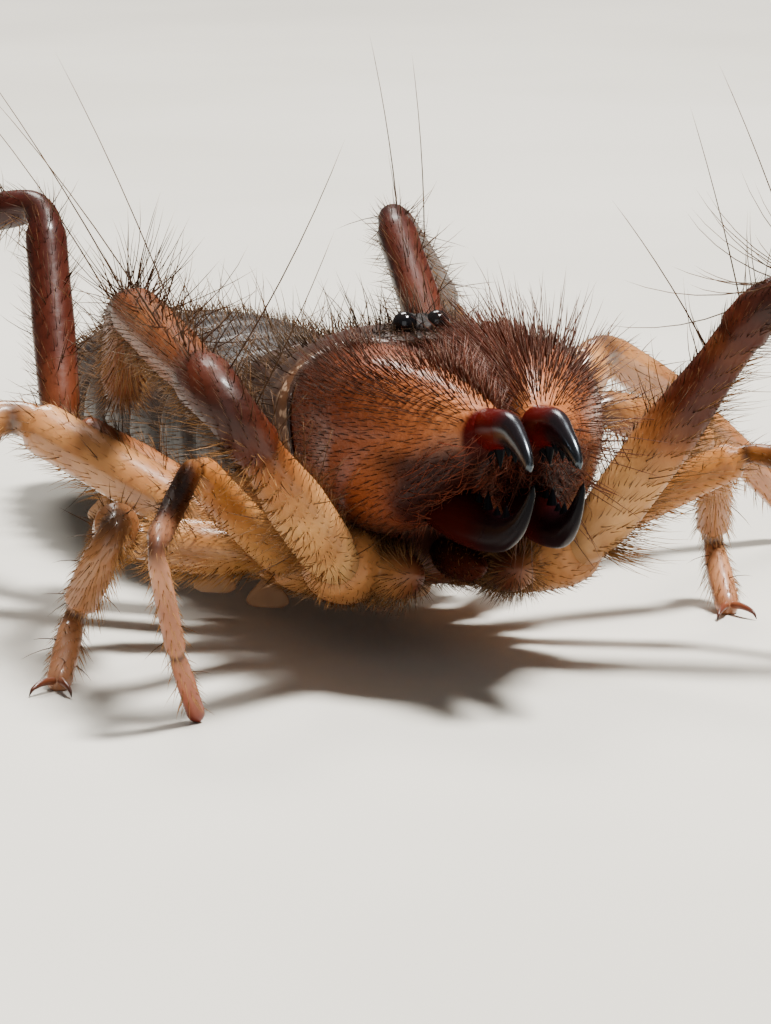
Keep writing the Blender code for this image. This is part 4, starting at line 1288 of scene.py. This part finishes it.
def claw_finish():
    """Slim red brown claws with dark tips."""
    finish, tree, shader = start_finish("claw_horn", 0.28, 0.4)
    base = colour_run(tree, stored(tree, "along"), (
        (0.0, (0.22, 0.07, 0.03)), (0.5, (0.10, 0.025, 0.012)), (1.0, (0.01, 0.004, 0.004)),
    ))
    tree.links.new(base, shader.inputs["Base Color"])
    relief(tree, shader, speckle(tree, 4.0, 3.0), 0.2, 0.03)
    return finish


def claw_grids(joints):
    """Two claws that leave the foot level, arch up and end just above the floor."""
    tip = joints[-1]
    run = unit(tip - joints[-2])
    level_way = unit(run * (1, 1, 0))
    root = tip - run * 0.35
    grids = []
    for turn in (-CLAW_SPREAD, CLAW_SPREAD):
        way = np.array(Matrix.Rotation(turn, 3, "Z")) @ level_way
        rows = [(*root[:2], max(root[2], 0.3), CLAW_RADIUS)]
        for share, height, thickness in CLAW_BEND:
            rows.append((*(tip + way * CLAW_LENGTH * share)[:2], height, CLAW_RADIUS * thickness))
        fine = smooth_rows(rows, 24)
        grids.append(follow(fine[:, :3], np.maximum(fine[:, 3], 0.012), 12))
    return grids


print("claws at the tip of the right hind leg:", len(claw_grids(limb_joints("leg4", "right"))))

# %% Shape of the racket organs
# Share of the length and half width of a fan
FAN_PROFILE = ((0.0, 0.11), (0.45, 0.12), (0.62, 0.34), (0.8, 0.72), (0.93, 0.8), (1.0, 0.55))
FAN_HALF_THICKNESS = 0.1
FAN_REACH = 1.5
# Segment of the hind leg and share of its length
FAN_PLACES = ((0, 0.42), (0, 0.86), (1, 0.3), (1, 0.68), (2, 0.16))


def fan_finish():
    """Racket organs, pale at the fan and brown on the stalk, darkened with painted shade."""
    finish, tree, shader = start_finish("racket_skin", 0.45, 0.4)
    base = colour_run(tree, stored(tree, "along"), (
        (0.0, (0.26, 0.11, 0.04)), (0.5, (0.34, 0.17, 0.075)), (1.0, (0.44, 0.26, 0.14)),
    ))
    streaked = blend_colours(tree, level(tree, speckle(tree, 1.8, 4.0), 0.35, 0.7, 0.0, 0.4), base,
                             (0.24, 0.12, 0.06))
    tree.links.new(streaked, shader.inputs["Base Color"])
    relief(tree, shader, speckle(tree, 4.0, 3.0), 0.3, 0.04)
    return finish


def racket_grid(middle, along, radius):
    """One racket organ: a thin stalk that widens to a rounded fan."""
    down = np.array((0.0, 0.0, -1.0))
    thin = unit(np.cross(along, down))
    share, width = smooth_rows(FAN_PROFILE, 26).T[..., None]
    inside = 0.4 * radius
    centres = middle + down * (inside + share * (radius + FAN_REACH - inside))
    return rings_about(centres, np.cross(thin, down) * width,
                       thin * np.minimum(FAN_HALF_THICKNESS, width), 20)


print("fans on each side:", len(FAN_PLACES))

# %% Claws and racket organs
def make_joined(name, grids, finish):
    """One piece from several sleeves, each painted along its own length."""
    along = np.concatenate([shares_along(grid) for grid in grids])
    make_piece(name, join_sleeves(grids), finish, (), {"along": along})


claw_horn = claw_finish()
racket_skin = fan_finish()
for side_name in SIDES:
    for limb in ("leg2", "leg3", "leg4"):
        joints = limb_joints(limb, side_name)
        make_joined("claws_%s_%s" % (limb, side_name), claw_grids(joints), claw_horn)
    fans = []
    for segment, share in FAN_PLACES:
        run = joints[segment + 1] - joints[segment]
        fans.append(racket_grid(joints[segment] + run * share, run, SEGMENTS["leg4"][segment][1]))
    make_joined("racket_organs_" + side_name, fans, racket_skin)
print("pieces so far", len(pieces))

# %% Beak
# Middle line and radius
BEAK_LINE = ((0.0, -2.7, 4.15, 0.5), (0.0, -3.6, 4.1, 0.7), (0.0, -5.2, 4.1, 0.6),
             (0.0, -6.2, 4.2, 0.36), (0.0, -6.7, 4.25, 0.08))
# The beak gets the hand shell with strong painted shade, so it stays dark between the jaws.
BEAK_SHADE = 0.8
beak_rows = smooth_rows(BEAK_LINE, 30)
beak = follow(beak_rows[:, :3], beak_rows[:, 3], 24)
everywhere = capped(np.ones(beak.shape[:2]))
make_piece("beak", sleeve(beak), jaw_shell, ["rostrum"],
           {"from_finger": everywhere, "painted_shade": BEAK_SHADE * everywhere})
print("beak reaches forward to, mm:", beak[..., 1].min().round(2))

# %% [markdown]
# ## The coat of bristles
# A sun spider is hairy all over: short dark setae lie close on the jaws, golden hairs cover the
# legs, and a few very long feeling hairs stand up from the knees. Particle hair would be lost
# on export, so each hair is a thin three-sided cone with a sunken root. The roots are strewn
# by a number sequence that keeps them evenly apart, and the cones lie along their skin.

# %% Places for the roots
# Steps of a sequence whose places stay evenly apart on a square
EVEN_STEPS = (0.7548776662466927, 0.5698402909980532)


def laid(way, out):
    """Ways turned to lie flat on the skin."""
    return unit(way - out * (way * out).sum(1, keepdims=True))


def between(field, row, column, down, along):
    """Value of a grid between its points."""
    count = field.shape[1]
    after = (column + 1) % count
    if field.ndim == 3:
        down, along = down[:, None], along[:, None]
    near = field[row, column] * (1 - along) + field[row, after] * along
    far = field[row + 1, column] * (1 - along) + field[row + 1, after] * along
    return near * (1 - down) + far * down


def strew(grid, count, density, **fields):
    """Roots on a skin with their outward way, the way along the skin, unwrap place and fields."""
    across = np.roll(grid, -1, 1) - np.roll(grid, 1, 1)
    onward = np.gradient(grid, axis=0)
    outward = unit(np.cross(across, onward))
    if (outward * (grid - grid.mean(1, keepdims=True))).sum() < 0:
        outward = -outward
    area = np.linalg.norm(np.cross(across, onward), axis=2)
    weight = (area * density)[:-1] + 1e-9
    rows = np.cumsum(weight.sum(1)) / weight.sum()
    columns = np.cumsum(weight, 1) / weight.sum(1, keepdims=True)
    places = (rng.random(2) + np.arange(count)[:, None] * EVEN_STEPS) % 1
    row = np.minimum(np.searchsorted(rows, places[:, 0]), len(rows) - 1)
    low = np.where(row > 0, rows[row - 1], 0)
    down = (places[:, 0] - low) / (rows[row] - low)
    column = np.minimum((columns[row] < places[:, 1:]).sum(1), columns.shape[1] - 1)
    low = np.where(column > 0, columns[row, column - 1], 0)
    along = (places[:, 1] - low) / (columns[row, column] - low)
    found = {key: between(field, row, column, down, along) for key, field in fields.items()}
    found["root"] = between(grid, row, column, down, along)
    found["out"] = unit(between(outward, row, column, down, along))
    found["lay"] = laid(between(onward, row, column, down, along), found["out"])
    found["place"] = unwrap_place((column + along) / grid.shape[1], (row + down) / (len(grid) - 1))
    return found


print("first even steps:", [[round(n * step % 1, 2) for step in EVEN_STEPS] for n in (1, 2, 3)])

# %% [markdown]
# ### Growing the hairs
# A hair leaves its root at an angle, the lift, and bows back towards the skin. It is drawn as a
# few rings of three points that thin out to one tip, which costs few triangles. Real hairs are
# never quite alike, so length, lift, bow and direction vary a little, always in the same way
# because the generator of the numbers is seeded.

# %% Hairs on their roots
SUNKEN = 0.05
FLOOR_ROOM = 0.04
PATCH = 0.003               # size of a hair on the unwrap
TIP_THINNING = 0.7


def grow(found, length, radius, lift, bow, tone, swirl=0.12, back=False, steps=2, spread=0.2):
    """Hairs that leave the skin at a lift and bow over; numbers or one value for each root.

    Lift and bow are in degrees and the tone runs from dark to bright. Swirl is how far the hairs
    stray sideways, back turns them round, and spread is how much their lengths differ.
    """
    count = len(found["root"])
    length, radius, lift, bow, tone = (np.broadcast_to(np.asarray(value, float), count)
                                       for value in (length, radius, lift, bow, tone))
    length = length * rng.uniform(1 - spread, 1 + spread, count)
    lift = np.radians(np.clip(lift + rng.normal(0, 5, count), 4, 90))
    bow = np.radians(bow + rng.normal(0, 4, count))
    out = found["out"]
    aside = np.cross(out, found["lay"])
    turn = rng.normal(0, swirl, count)[:, None]
    lay = unit(found["lay"] * (-1 if back else 1) + aside * turn)
    aside = np.cross(out, lay)
    share = np.linspace(0, 1, steps + 1)
    angle = lift[:, None] - bow[:, None] * share
    way = np.cos(angle)[..., None] * lay[:, None] + np.sin(angle)[..., None] * out[:, None]
    centre = np.empty_like(way)
    centre[:, 0] = found["root"] - out * SUNKEN
    for step in range(steps):
        stretch = (length + SUNKEN)[:, None] / steps
        centre[:, step + 1] = centre[:, step] + unit(way[:, step] + way[:, step + 1]) * stretch
    raised = np.cross(way, aside[:, None])
    around = np.arange(3) * math.tau / 3
    thick = (radius[:, None] * (1 - TIP_THINNING * share))[:, :-1, None, None]
    rings = (centre[:, :-1, None]
             + np.cos(around)[:, None] * raised[:, :-1, None] * thick
             + np.sin(around)[:, None] * aside[:, None, None] * thick)
    points = np.concatenate([rings.reshape(count, steps * 3, 3), centre[:, -1:]], 1)
    reach = np.append(np.repeat(share[:-1], 3), 1.0)
    sideways = np.append(np.tile((-1.0, 0.0, 1.0), steps), 0.0)
    offset = np.stack([sideways, 2 * reach - 1], 1) * PATCH / 2
    clear = points[..., 2].min(1) > FLOOR_ROOM
    return {"points": points[clear], "tone": tone[clear], "reach": reach, "steps": steps,
            "patch": (found["place"][:, None] + offset)[clear]}


print("a hair starts this far inside the skin, mm:", SUNKEN)

# %% [markdown]
# ### From hairs to a coat
# Thousands of objects would be slow and hard to handle. All hairs of one region go into one mesh:
# the faces of a single hair are listed once, and each further hair adds its own first point to
# those numbers.

# %% Coats from hairs
hair_triangles = {}


def hair_faces(steps):
    """Corner numbers of the faces of one hair: the sides, the tip and the base."""
    faces = [[0, 1, 2]]
    for step in range(steps - 1):
        low, high = step * 3, step * 3 + 3
        faces += [[low + i, high + i, high + (i + 1) % 3, low + (i + 1) % 3] for i in range(3)]
    last = steps * 3 - 3
    faces += [[last + i, last + 3, last + (i + 1) % 3] for i in range(3)]
    return faces


def make_coat(name, tufts, finish):
    """One piece of coat from several growths of hair."""
    points, corners, starts, patches, tones, reaches = [], [], [], [], [], []
    point_total = corner_total = 0
    for tuft in tufts:
        count, each = tuft["points"].shape[:2]
        faces = hair_faces(tuft["steps"])
        flat = np.concatenate(faces)
        begin = np.cumsum([0] + [len(face) for face in faces[:-1]])
        number = np.arange(count)[:, None]
        corners.append((flat + number * each).ravel() + point_total)
        starts.append((begin + number * len(flat)).ravel() + corner_total)
        patches.append(tuft["patch"][:, flat].reshape(-1, 2))
        points.append(tuft["points"].reshape(-1, 3))
        tones.append(np.repeat(tuft["tone"], each))
        reaches.append(np.tile(tuft["reach"], count))
        point_total += count * each
        corner_total += count * len(flat)
    made = (np.vstack(points), np.concatenate(corners), np.concatenate(starts), np.vstack(patches))
    make_piece(name, made, finish, (),
               {"tone": np.concatenate(tones), "reach": np.concatenate(reaches)})
    hair_triangles[name] = corner_total - 2 * len(made[2])
    print(name, "hairs", sum(len(tuft["points"]) for tuft in tufts),
          "triangles", hair_triangles[name])


print("faces of a hair with two steps:", hair_faces(2))

# %% [markdown]
# ### Finish of the hair
# Hairs on the jaws are nearly black with a red gleam, those on the legs amber, and those on the
# back a duller brown. One recipe makes all three: each hair has a tone between the dark and the
# bright colour, and gets paler towards its tip.

# %% Finish of the hair
def hair_finish(name, dark, bright, roughness=0.42, gloss=0.3):
    """Hair between a dark and a bright colour, paler towards the tip."""
    finish, tree, shader = start_finish(name, roughness, gloss)
    shader.inputs["Specular Tint"].default_value = (1.0, 0.72, 0.5, 1.0)
    base = blend_colours(tree, stored(tree, "tone"), dark, bright)
    towards_tip = level(tree, stored(tree, "reach"), 0.3, 1.0, 0.0, 0.2)
    pale = blend_colours(tree, towards_tip, base, bright)
    fleck = level(tree, speckle(tree, 2.0, 2.0), 0.3, 0.8, 0.0, 0.4)
    flecked = blend_colours(tree, fleck, pale, dark)
    tree.links.new(flecked, shader.inputs["Base Color"])
    return finish


jaw_hair = hair_finish("jaw_hair", (0.006, 0.0018, 0.0012), (0.21, 0.042, 0.020), 0.36, 0.32)
amber_hair = hair_finish("amber_hair", (0.018, 0.006, 0.003), (0.42, 0.20, 0.065))
back_hair = hair_finish("back_hair", (0.010, 0.005, 0.003), (0.20, 0.095, 0.035))
print("hair finishes:", [finish.name for finish in (jaw_hair, amber_hair, back_hair)])

# %% [markdown]
# ## Setae of the jaws
# From the root of the upper finger the setae radiate backwards over the hand in curved rows.
# They are short and flat on the outer side, longer and raised on top and towards the middle,
# and reddish and bent round the mouth, so their length and lift are read from where they are.

# %% Coat of the hands
SETAE, TALL_SETAE, MOUTH_SETAE = 2250, 400, 230
# Lines of sight from the eyes to the viewer, over which the setae stay short
SIGHT_ASIDE, SIGHT_FORWARD, SIGHT_HEIGHT = 0.337, 0.925, 11.8
EYE_SIGHT = [(x - SIGHT_ASIDE * reach, EYE_CENTRE[1] - SIGHT_FORWARD * reach, SIGHT_HEIGHT)
             for x in (-EYE_CENTRE[0], EYE_CENTRE[0]) for reach in np.linspace(0, 5, 12)]
for side_name, side in SIDES.items():
    grid = hand_skins[side_name]
    x, y, z = np.abs(grid[..., 0]), grid[..., 1], grid[..., 2]
    clear = ((inside_dome(grid) > 0.08) | (z < SHIELD_FLOOR - 0.2)) & (y < -0.8) & (y > -9.6)
    inward = step_up(hand_middle(y) - x, -0.45, 1.45)
    mouth = near_free_finger(grid, 1.9, 3.3, side)
    near_eyes = 1 - step_up(gap_to(grid, mirrored((EYE_CENTRE,), side)), 1.0, 1.5)
    sight = 1 - step_up(gap_to(grid, EYE_SIGHT), 0.8, 1.6)
    density = clear * (0.45 + 0.3 * step_up(z, 9.3, 11.0) - 0.36 * mouth) * (1 - near_eyes)
    found = strew(grid, SETAE, density, inward=inward, mouth=mouth, sight=sight, z=z)
    wild = found["inward"] * (1 - found["sight"])
    high = step_up(found["z"], 9.5, 11.4) * (1 - 0.7 * found["sight"])
    length = 0.55 + 0.4 * high + 0.9 * wild + 0.1 * found["mouth"] - 0.15 * found["sight"]
    lift = 20 + 23 * high + 22 * wild
    bow = 8 + 26 * found["mouth"]
    tone = 0.08 + 0.1 * found["mouth"] + 0.22 * found["inward"] + rng.normal(0, 0.1, SETAE)
    short = grow(found, length, 0.024, lift, bow, np.clip(tone, 0, 1), back=True)
    crest = step_up(z, 9.6, 11.4) * (0.25 + 0.35 * (side > 0)) + inward * step_up(z, 7.5, 10.5)
    outer = 0.25 * (side > 0) * step_up(-y, 3.0, 5.0)
    found = strew(grid, TALL_SETAE, clear * (crest + outer) * (1 - sight))
    length = rng.uniform(0.8, 1.6, TALL_SETAE) * (1.0 + 1.1 * (side > 0))
    tall = grow(found, length, 0.027, 56, 22, 0.18, swirl=0.22, back=True, steps=4)
    found = strew(grid, MOUTH_SETAE, clear * mouth)
    length = rng.uniform(1.0, 2.1, MOUTH_SETAE)
    tone = rng.uniform(0.1, 0.9, MOUTH_SETAE)
    round_mouth = grow(found, length, 0.022, 40, 66, tone, swirl=0.4, steps=5)
    make_coat("jaw_setae_" + side_name, [short, tall, round_mouth], jaw_hair)

# %% [markdown]
# ## Hairs of the limbs
# The same loop dresses every limb. Short hairs lean towards the foot, golden ones hang below,
# dark bristles stand on the upper side, and a few very long hairs rise from the knees of the
# feelers and the hind legs. A table says how many there are and how long.

# %% Hair tables of the limbs
# Short hairs: how many, length, lift and tone. Bristles: how many and how long.
LIMB_COAT = {
    "palp": (2300, 0.62, 32, 0.08, 170, 2.5),
    "leg1": (900, 0.5, 32, 0.5, 30, 1.1),
    "leg2": (1500, 0.55, 30, 0.6, 60, 1.3),
    "leg3": (900, 0.5, 28, 0.45, 50, 1.5),
    "leg4": (1200, 0.8, 38, 0.25, 110, 2.2),
}
# Very long hairs: segment, share of its length, yaw, pitch and length, as in the solids
LONG_HAIRS = {
    "palp_right": ((2, 0.95, -37, 60, 9.2), (2, 0.3, -48, 70, 11.2), (2, 0.5, -36, 58, 9.8),
                   (2, 0.12, 175, 50, 8.0), (3, 0.3, -20, 62, 9.0), (1, 0.85, 150, 62, 6.0)),
    "palp_left": ((1, 0.72, -141, 61, 5.6), (1, 0.88, -121, 75, 6.4), (2, 0.1, -121, 74, 8.0),
                  (2, 0.35, -60, 70, 9.5), (2, 0.65, -100, 64, 8.5), (3, 0.2, -80, 62, 8.0)),
    "leg4_right": ((3, 0.15, -60, 62, 7.0), (3, 0.6, -100, 66, 8.0)),
    "leg4_left": ((3, 0.15, -80, 62, 7.0), (3, 0.6, -60, 66, 8.0)),
}
# Where along each kind of limb the hairs are dark; on the front and hind legs they follow the
# painted shade
DARK_PARTS = {"palp": (1.85, 3.2), "leg1": (1.95, 3.0), "leg4": (2.0, 6.0)}
print("very long hairs in all:", sum(map(len, LONG_HAIRS.values())))

# %% Very long hairs
# The skin of the feelers is thinner than their solids, so the long hairs start well inside it.
# They bow, so they are a little longer than the straight spines of the solids.
ROOT_DEPTH = 0.4
BOW_ROOM = 1.05


def long_hairs(name, grid):
    """Very long hairs of one limb, from inside its skin along their own ways, slightly bowed."""
    limb, side_name = name.split("_")
    joints = limb_joints(limb, side_name)
    feet, ways, lengths = [], [], []
    for segment, share, yaw, pitch, length in LONG_HAIRS[name]:
        run = unit(joints[segment + 1] - joints[segment])
        way = heading(SIDES[side_name], yaw, pitch)
        slant = math.sqrt(1 - (way @ run) ** 2)
        inside = joints[segment] + (joints[segment + 1] - joints[segment]) * share
        to_solid = SEGMENTS[limb][segment][1] / slant
        feet.append(inside + way * ROOT_DEPTH * to_solid)
        ways.append(way)
        lengths.append(length * BOW_ROOM + (0.9 - ROOT_DEPTH) * to_solid)
    feet, ways = np.array(feet), np.array(ways)
    flat = grid.reshape(-1, 3)
    nearest = np.array([np.linalg.norm(flat - foot, axis=1).argmin() for foot in feet])
    rows, columns = np.divmod(nearest, grid.shape[1])
    found = {"root": feet, "out": ways, "lay": unit(np.cross(ways, (0.3, 0.9, 0.2))),
             "place": unwrap_place(columns / grid.shape[1], rows / (len(grid) - 1))}
    return grow(found, np.array(lengths), 0.038, 90, 14, 0.03, swirl=0.8, steps=7, spread=0.04)


print("the longest of them, mm:", max(hair[-1] for hairs in LONG_HAIRS.values() for hair in hairs))

# %% Coat of the limbs
for name, (grid, along) in limb_skins.items():
    limb, side_name = name.split("_")
    count, length, lift, tone, bristles, reach = LIMB_COAT[limb]
    last = len(SEGMENTS[limb])
    middle = grid.mean(1, keepdims=True)
    top = unit(grid - middle)[..., 2]
    run = np.repeat(along[:, None], grid.shape[1], 1)
    free = (run > 1.0) & (run < last - 0.02) & (grid[..., 2] > 0.25)
    found = strew(grid, count, free.astype(float), run=run, top=top)
    dark_from, dark_to = DARK_PARTS.get(limb, (last, last))
    dark = (found["run"] > dark_from) & (found["run"] < dark_to)
    under = step_up(-found["top"], -0.1, 0.7)
    shade = np.clip(tone + 0.5 * under - 0.3 * dark + rng.normal(0, 0.14, len(under)), 0, 1)
    short = grow(found, length * (1 + 0.8 * under), 0.016 + 0.004 * under, lift + 14 * under, 10,
                 shade)
    found = strew(grid, bristles, free * (0.3 + step_up(top, -0.3, 0.8)), run=run, top=top)
    stiff = grow(found, reach * rng.uniform(0.5, 1.1, bristles), 0.024, 62, 18, 0.05,
                 swirl=0.3, steps=3)
    growths = [short, stiff]
    if limb == "palp":
        above = step_up(top, 0.45, 0.95) * (run > (1.7 if side_name == "left" else 2.15))
        found = strew(grid, 90, free * above * (run < 3.6))
        growths.append(grow(found, rng.uniform(2.2, 4.8, 90), 0.03, 26, -36, 0.03,
                            swirl=0.35, back=True, steps=5))
        found = strew(grid, 130, free * step_up(-top, 0.5, 0.9) * (run < 2.0))
        growths.append(grow(found, rng.uniform(1.1, 2.5, 130), 0.018, 62, 20, 0.7,
                            swirl=0.3, steps=3))
    if name in LONG_HAIRS:
        growths.append(long_hairs(name, grid))
    make_coat(name + "_hair", growths, amber_hair)

# %% [markdown]
# ## Hairs of the body
# The back carries golden brown hairs that lean to the rear, the shield carries erect dark
# ones, and the underside is downy. Roots on the underside are moved onto the remeshed skin, and
# those that lie inside it are left out.

# %% Coat of the abdomen
BACK_HAIRS = 5600
found = strew(abdomen, BACK_HAIRS, 1.0 - 0.8 * fold, lower=lower, plate=plate)
tone = 0.45 + 0.3 * found["lower"] - 0.2 * found["plate"] + rng.normal(0, 0.15, BACK_HAIRS)
down = grow(found, 0.95 + 0.3 * found["lower"], 0.021, 35, 14, np.clip(tone, 0, 1))
found = strew(abdomen, 260, 1.0 - 0.9 * lower)
tall = grow(found, 2.4, 0.024, 58, 22, 0.3, swirl=0.3, steps=4)
make_coat("abdomen_hair", [down, tall], back_hair)

# %% [markdown]
# ### Bristles of the shield
# The shield was cut, so its own mesh has no even rings to strew roots on. The rings of the whole
# dome serve instead, and only roots outside the hands and between floor and back of the shield
# are used. The brow, the plates and the eye mound get hairs of their own.

# %% Bare places of the shield
shield = shield_grid()
x, y, z = shield[..., 0], shield[..., 1], shield[..., 2]
off_hands = np.ones(x.shape, bool)
for side in SIDES.values():
    hand = hand_grid(side, HAND_GAP + 0.12)
    middle = hand.mean(1)
    reach_x, _, reach_z = np.abs(hand - middle[:, None]).max(1).T
    centre_x, centre_z, half_x, half_z = (np.interp(-y, -hand[:, 0, 1], row)
                                          for row in (middle[:, 0], middle[:, 2], reach_x, reach_z))
    from_hand = (np.abs(x - centre_x) / half_x) ** 2.2 + (np.abs(z - centre_z) / half_z) ** 2.2
    off_hands &= (from_hand > 1) | (y > 0.9)
bare = off_hands & (z > SHIELD_FLOOR + 0.1) & (y < SHIELD_BACK - 0.1)
print("bare share of the dome", round(float(bare.mean()), 2))

# %% Coat of the shield
found = strew(shield, 380, bare.astype(float))
down = grow(found, 0.6, 0.018, 45, 14, 0.3, swirl=0.4)
found = strew(shield, 130, bare.astype(float))
tall = grow(found, rng.uniform(1.3, 2.6, 130), 0.028, 66, 20, 0.03, swirl=0.4, steps=3)
found = strew(thorax, 500, (thorax[..., 2] > 6.4).astype(float))
plates = grow(found, rng.uniform(0.8, 2.2, 500), 0.024, 52, 16, 0.2, swirl=0.3, steps=3)
found = strew(shield, 330, ((np.abs(x) < 2.6) & (z > 10.4) & (y < 0.1)).astype(float))
brow = grow(found, 0.75, 0.022, 34, 26, 0.03, swirl=0.3, back=True)
found = strew(mound, 46, (mound[..., 2] > 11.5).astype(float))
found["lay"] = laid(unit(found["out"] * (1, 1, 0) + (0, 0.4, 0)), found["out"])
knob = grow(found, 1.3, 0.022, 75, 15, 0.03, swirl=0.4, steps=3)
make_coat("shield_bristles", [down, tall, plates, brow, knob], back_hair)

# %% [markdown]
# ### Down of the underside
# Roots are strewn on the single sleeves of the underside. Each is then moved to the nearest spot
# of the remeshed skin. Those that lie deep inside, where two coxae touch, find no skin near them
# and are dropped. A search tree over the faces makes this quick.

# %% Coat of the underside
under_mesh = underside_skin.data
surface = BVHTree.FromPolygons(
    [(Vector(v.co) / METRES - Vector(SHIFT)) for v in under_mesh.vertices],
    [tuple(face.vertices) for face in under_mesh.polygons])
NEAR_SKIN = 0.16            # roots farther than this from the skin are dropped


def settle_on(found, skin):
    """Move roots onto the remeshed skin and drop those buried under it."""
    keep = np.zeros(len(found["root"]), bool)
    for i, root in enumerate(found["root"]):
        spot, normal, _, gap = skin.find_nearest(Vector(root), 1.0)
        if spot is not None and gap < NEAR_SKIN and normal.dot(Vector(found["out"][i])) > 0.5:
            keep[i] = True
            found["root"][i] = spot
            found["out"][i] = normal
    found["lay"] = laid(found["lay"], found["out"])
    found["place"] = body_place(found["root"], FLANK_MIDDLE, UNDER_START, UNDER_LENGTH)
    return {key: value[keep] for key, value in found.items()}


tufts = []
for name, grid in under_grids.items():
    lobe = name.startswith("lobe")
    count = 900 if name == "flank" else 520
    found = settle_on(strew(grid, count, np.ones(grid.shape[:2])), surface)
    # Hairs near the middle of the belly get painted shade too.
    inner = mid_belly_shade(found["root"])
    shade = np.clip(0.55 - 0.4 * inner + rng.normal(0, 0.15, len(inner)), 0, 1)
    tufts.append(grow(found, 0.62 + 0.35 * lobe, 0.018, 32 + 12 * lobe, 12, shade,
                      swirl=0.2, back=lobe))
found = strew(beak, 160, (beak[..., 1] < -3.6).astype(float))
tufts.append(grow(found, 0.55, 0.018, 38, 10, 0.2, swirl=0.3))
make_coat("underside_hair", tufts, amber_hair)
print("hair triangles in all", sum(hair_triangles.values()))

# %% [markdown]
# ## The floor
# A still model needs ground under it, or its shadow would hang in the air. A wide pale plane of
# rough paper stands in for a museum's table.

# %% Floor
bpy.ops.mesh.primitive_plane_add(size=4.0, location=(0, 0, 0))
floor = bpy.context.object
floor.name = "studio_floor"
floor_finish, tree, shader = start_finish("studio_floor", 0.85, 0.2)
paper = colour_run(tree, speckle(tree, 0.02, 3.0), (
    (0.4, (0.55, 0.53, 0.48)), (0.6, (0.60, 0.58, 0.53)),
))
tree.links.new(paper, shader.inputs["Base Color"])
floor.data.materials.append(floor_finish)
print("floor width, m:", round(floor.dimensions.x, 1))

# %% [markdown]
# ## The camera
# The camera sits where the photograph was taken: low in front, a little to the animal's right,
# 20 cm away, with a long lens. Its place is worked out from the eyes, which lie at a known spot
# of the picture, and the lens from the pixels that one millimetre takes up.

# %% Camera
PICTURE = (771, 1024)
EYES_IN_PICTURE = (417, 322)
PIXELS_PER_MM = 28.0
EYE_DISTANCE = 200.0
AZIMUTH, ELEVATION = -20, 10


def way_from(azimuth, elevation):
    """Way from the animal to a place round it, from degrees; azimuth 0 is straight in front."""
    a, e = math.radians(azimuth), math.radians(elevation)
    return Vector((math.sin(a) * math.cos(e), -math.cos(a) * math.cos(e), math.sin(e)))


back = way_from(AZIMUTH, ELEVATION)
right = (-back).cross(Vector((0, 0, 1))).normalized()
up = right.cross(-back)
eyes = Vector((EYE_LINE[0], 0.0, EYE_LINE[2]))
place = (eyes + back * EYE_DISTANCE
         - right * ((EYES_IN_PICTURE[0] - PICTURE[0] / 2) / PIXELS_PER_MM)
         - up * ((PICTURE[1] / 2 - EYES_IN_PICTURE[1]) / PIXELS_PER_MM))
camera_data = bpy.data.cameras.new("camera")
camera_data.sensor_width = 36.0
camera_data.lens = camera_data.sensor_width * PIXELS_PER_MM * EYE_DISTANCE / max(PICTURE)
camera_data.clip_start = 0.01
camera = bpy.data.objects.new("camera", camera_data)
pose = Matrix((right, up, back)).transposed().to_4x4()
pose.translation = (place + Vector(SHIFT)) * METRES
camera.matrix_world = pose
bpy.context.scene.collection.objects.link(camera)
bpy.context.scene.camera = camera
print("lens", round(camera_data.lens, 1),
      "camera at, mm", [round(x / METRES, 1) for x in pose.translation])

# %% [markdown]
# ## The lights
# A soft key from above the left shoulder shows the form, a wide dim fill in front keeps the dark
# side readable, and a rim light from behind draws bright lines on the horn. Area lights are used
# because their soft edges suit a small glossy animal.

# %% Lights
def soft_light(name, azimuth, elevation, distance, size, power, colour):
    """Square soft light that looks at the animal from one way."""
    data = bpy.data.lights.new(name, "AREA")
    data.size = size
    data.energy = power
    data.color = colour
    light = bpy.data.objects.new(name, data)
    way = way_from(azimuth, elevation)
    light.location = way * distance
    light.rotation_euler = way.to_track_quat("Z", "Y").to_euler()
    bpy.context.scene.collection.objects.link(light)


soft_light("key", 50, 72, 0.5, 0.1, 9.5, (1.0, 0.97, 0.92))
soft_light("fill", -25, 18, 0.6, 0.4, 0.6, (0.96, 0.98, 1.0))
soft_light("rim", 168, 52, 0.6, 0.2, 3.2, (1.0, 0.96, 0.9))
world = bpy.data.worlds.new("studio")
bpy.context.scene.world = world
world.use_nodes = True
background = world.node_tree.nodes["Background"]
background.inputs["Color"].default_value = (0.80, 0.83, 0.80, 1.0)
background.inputs["Strength"].default_value = 0.15
print("lights", len(bpy.data.lights))
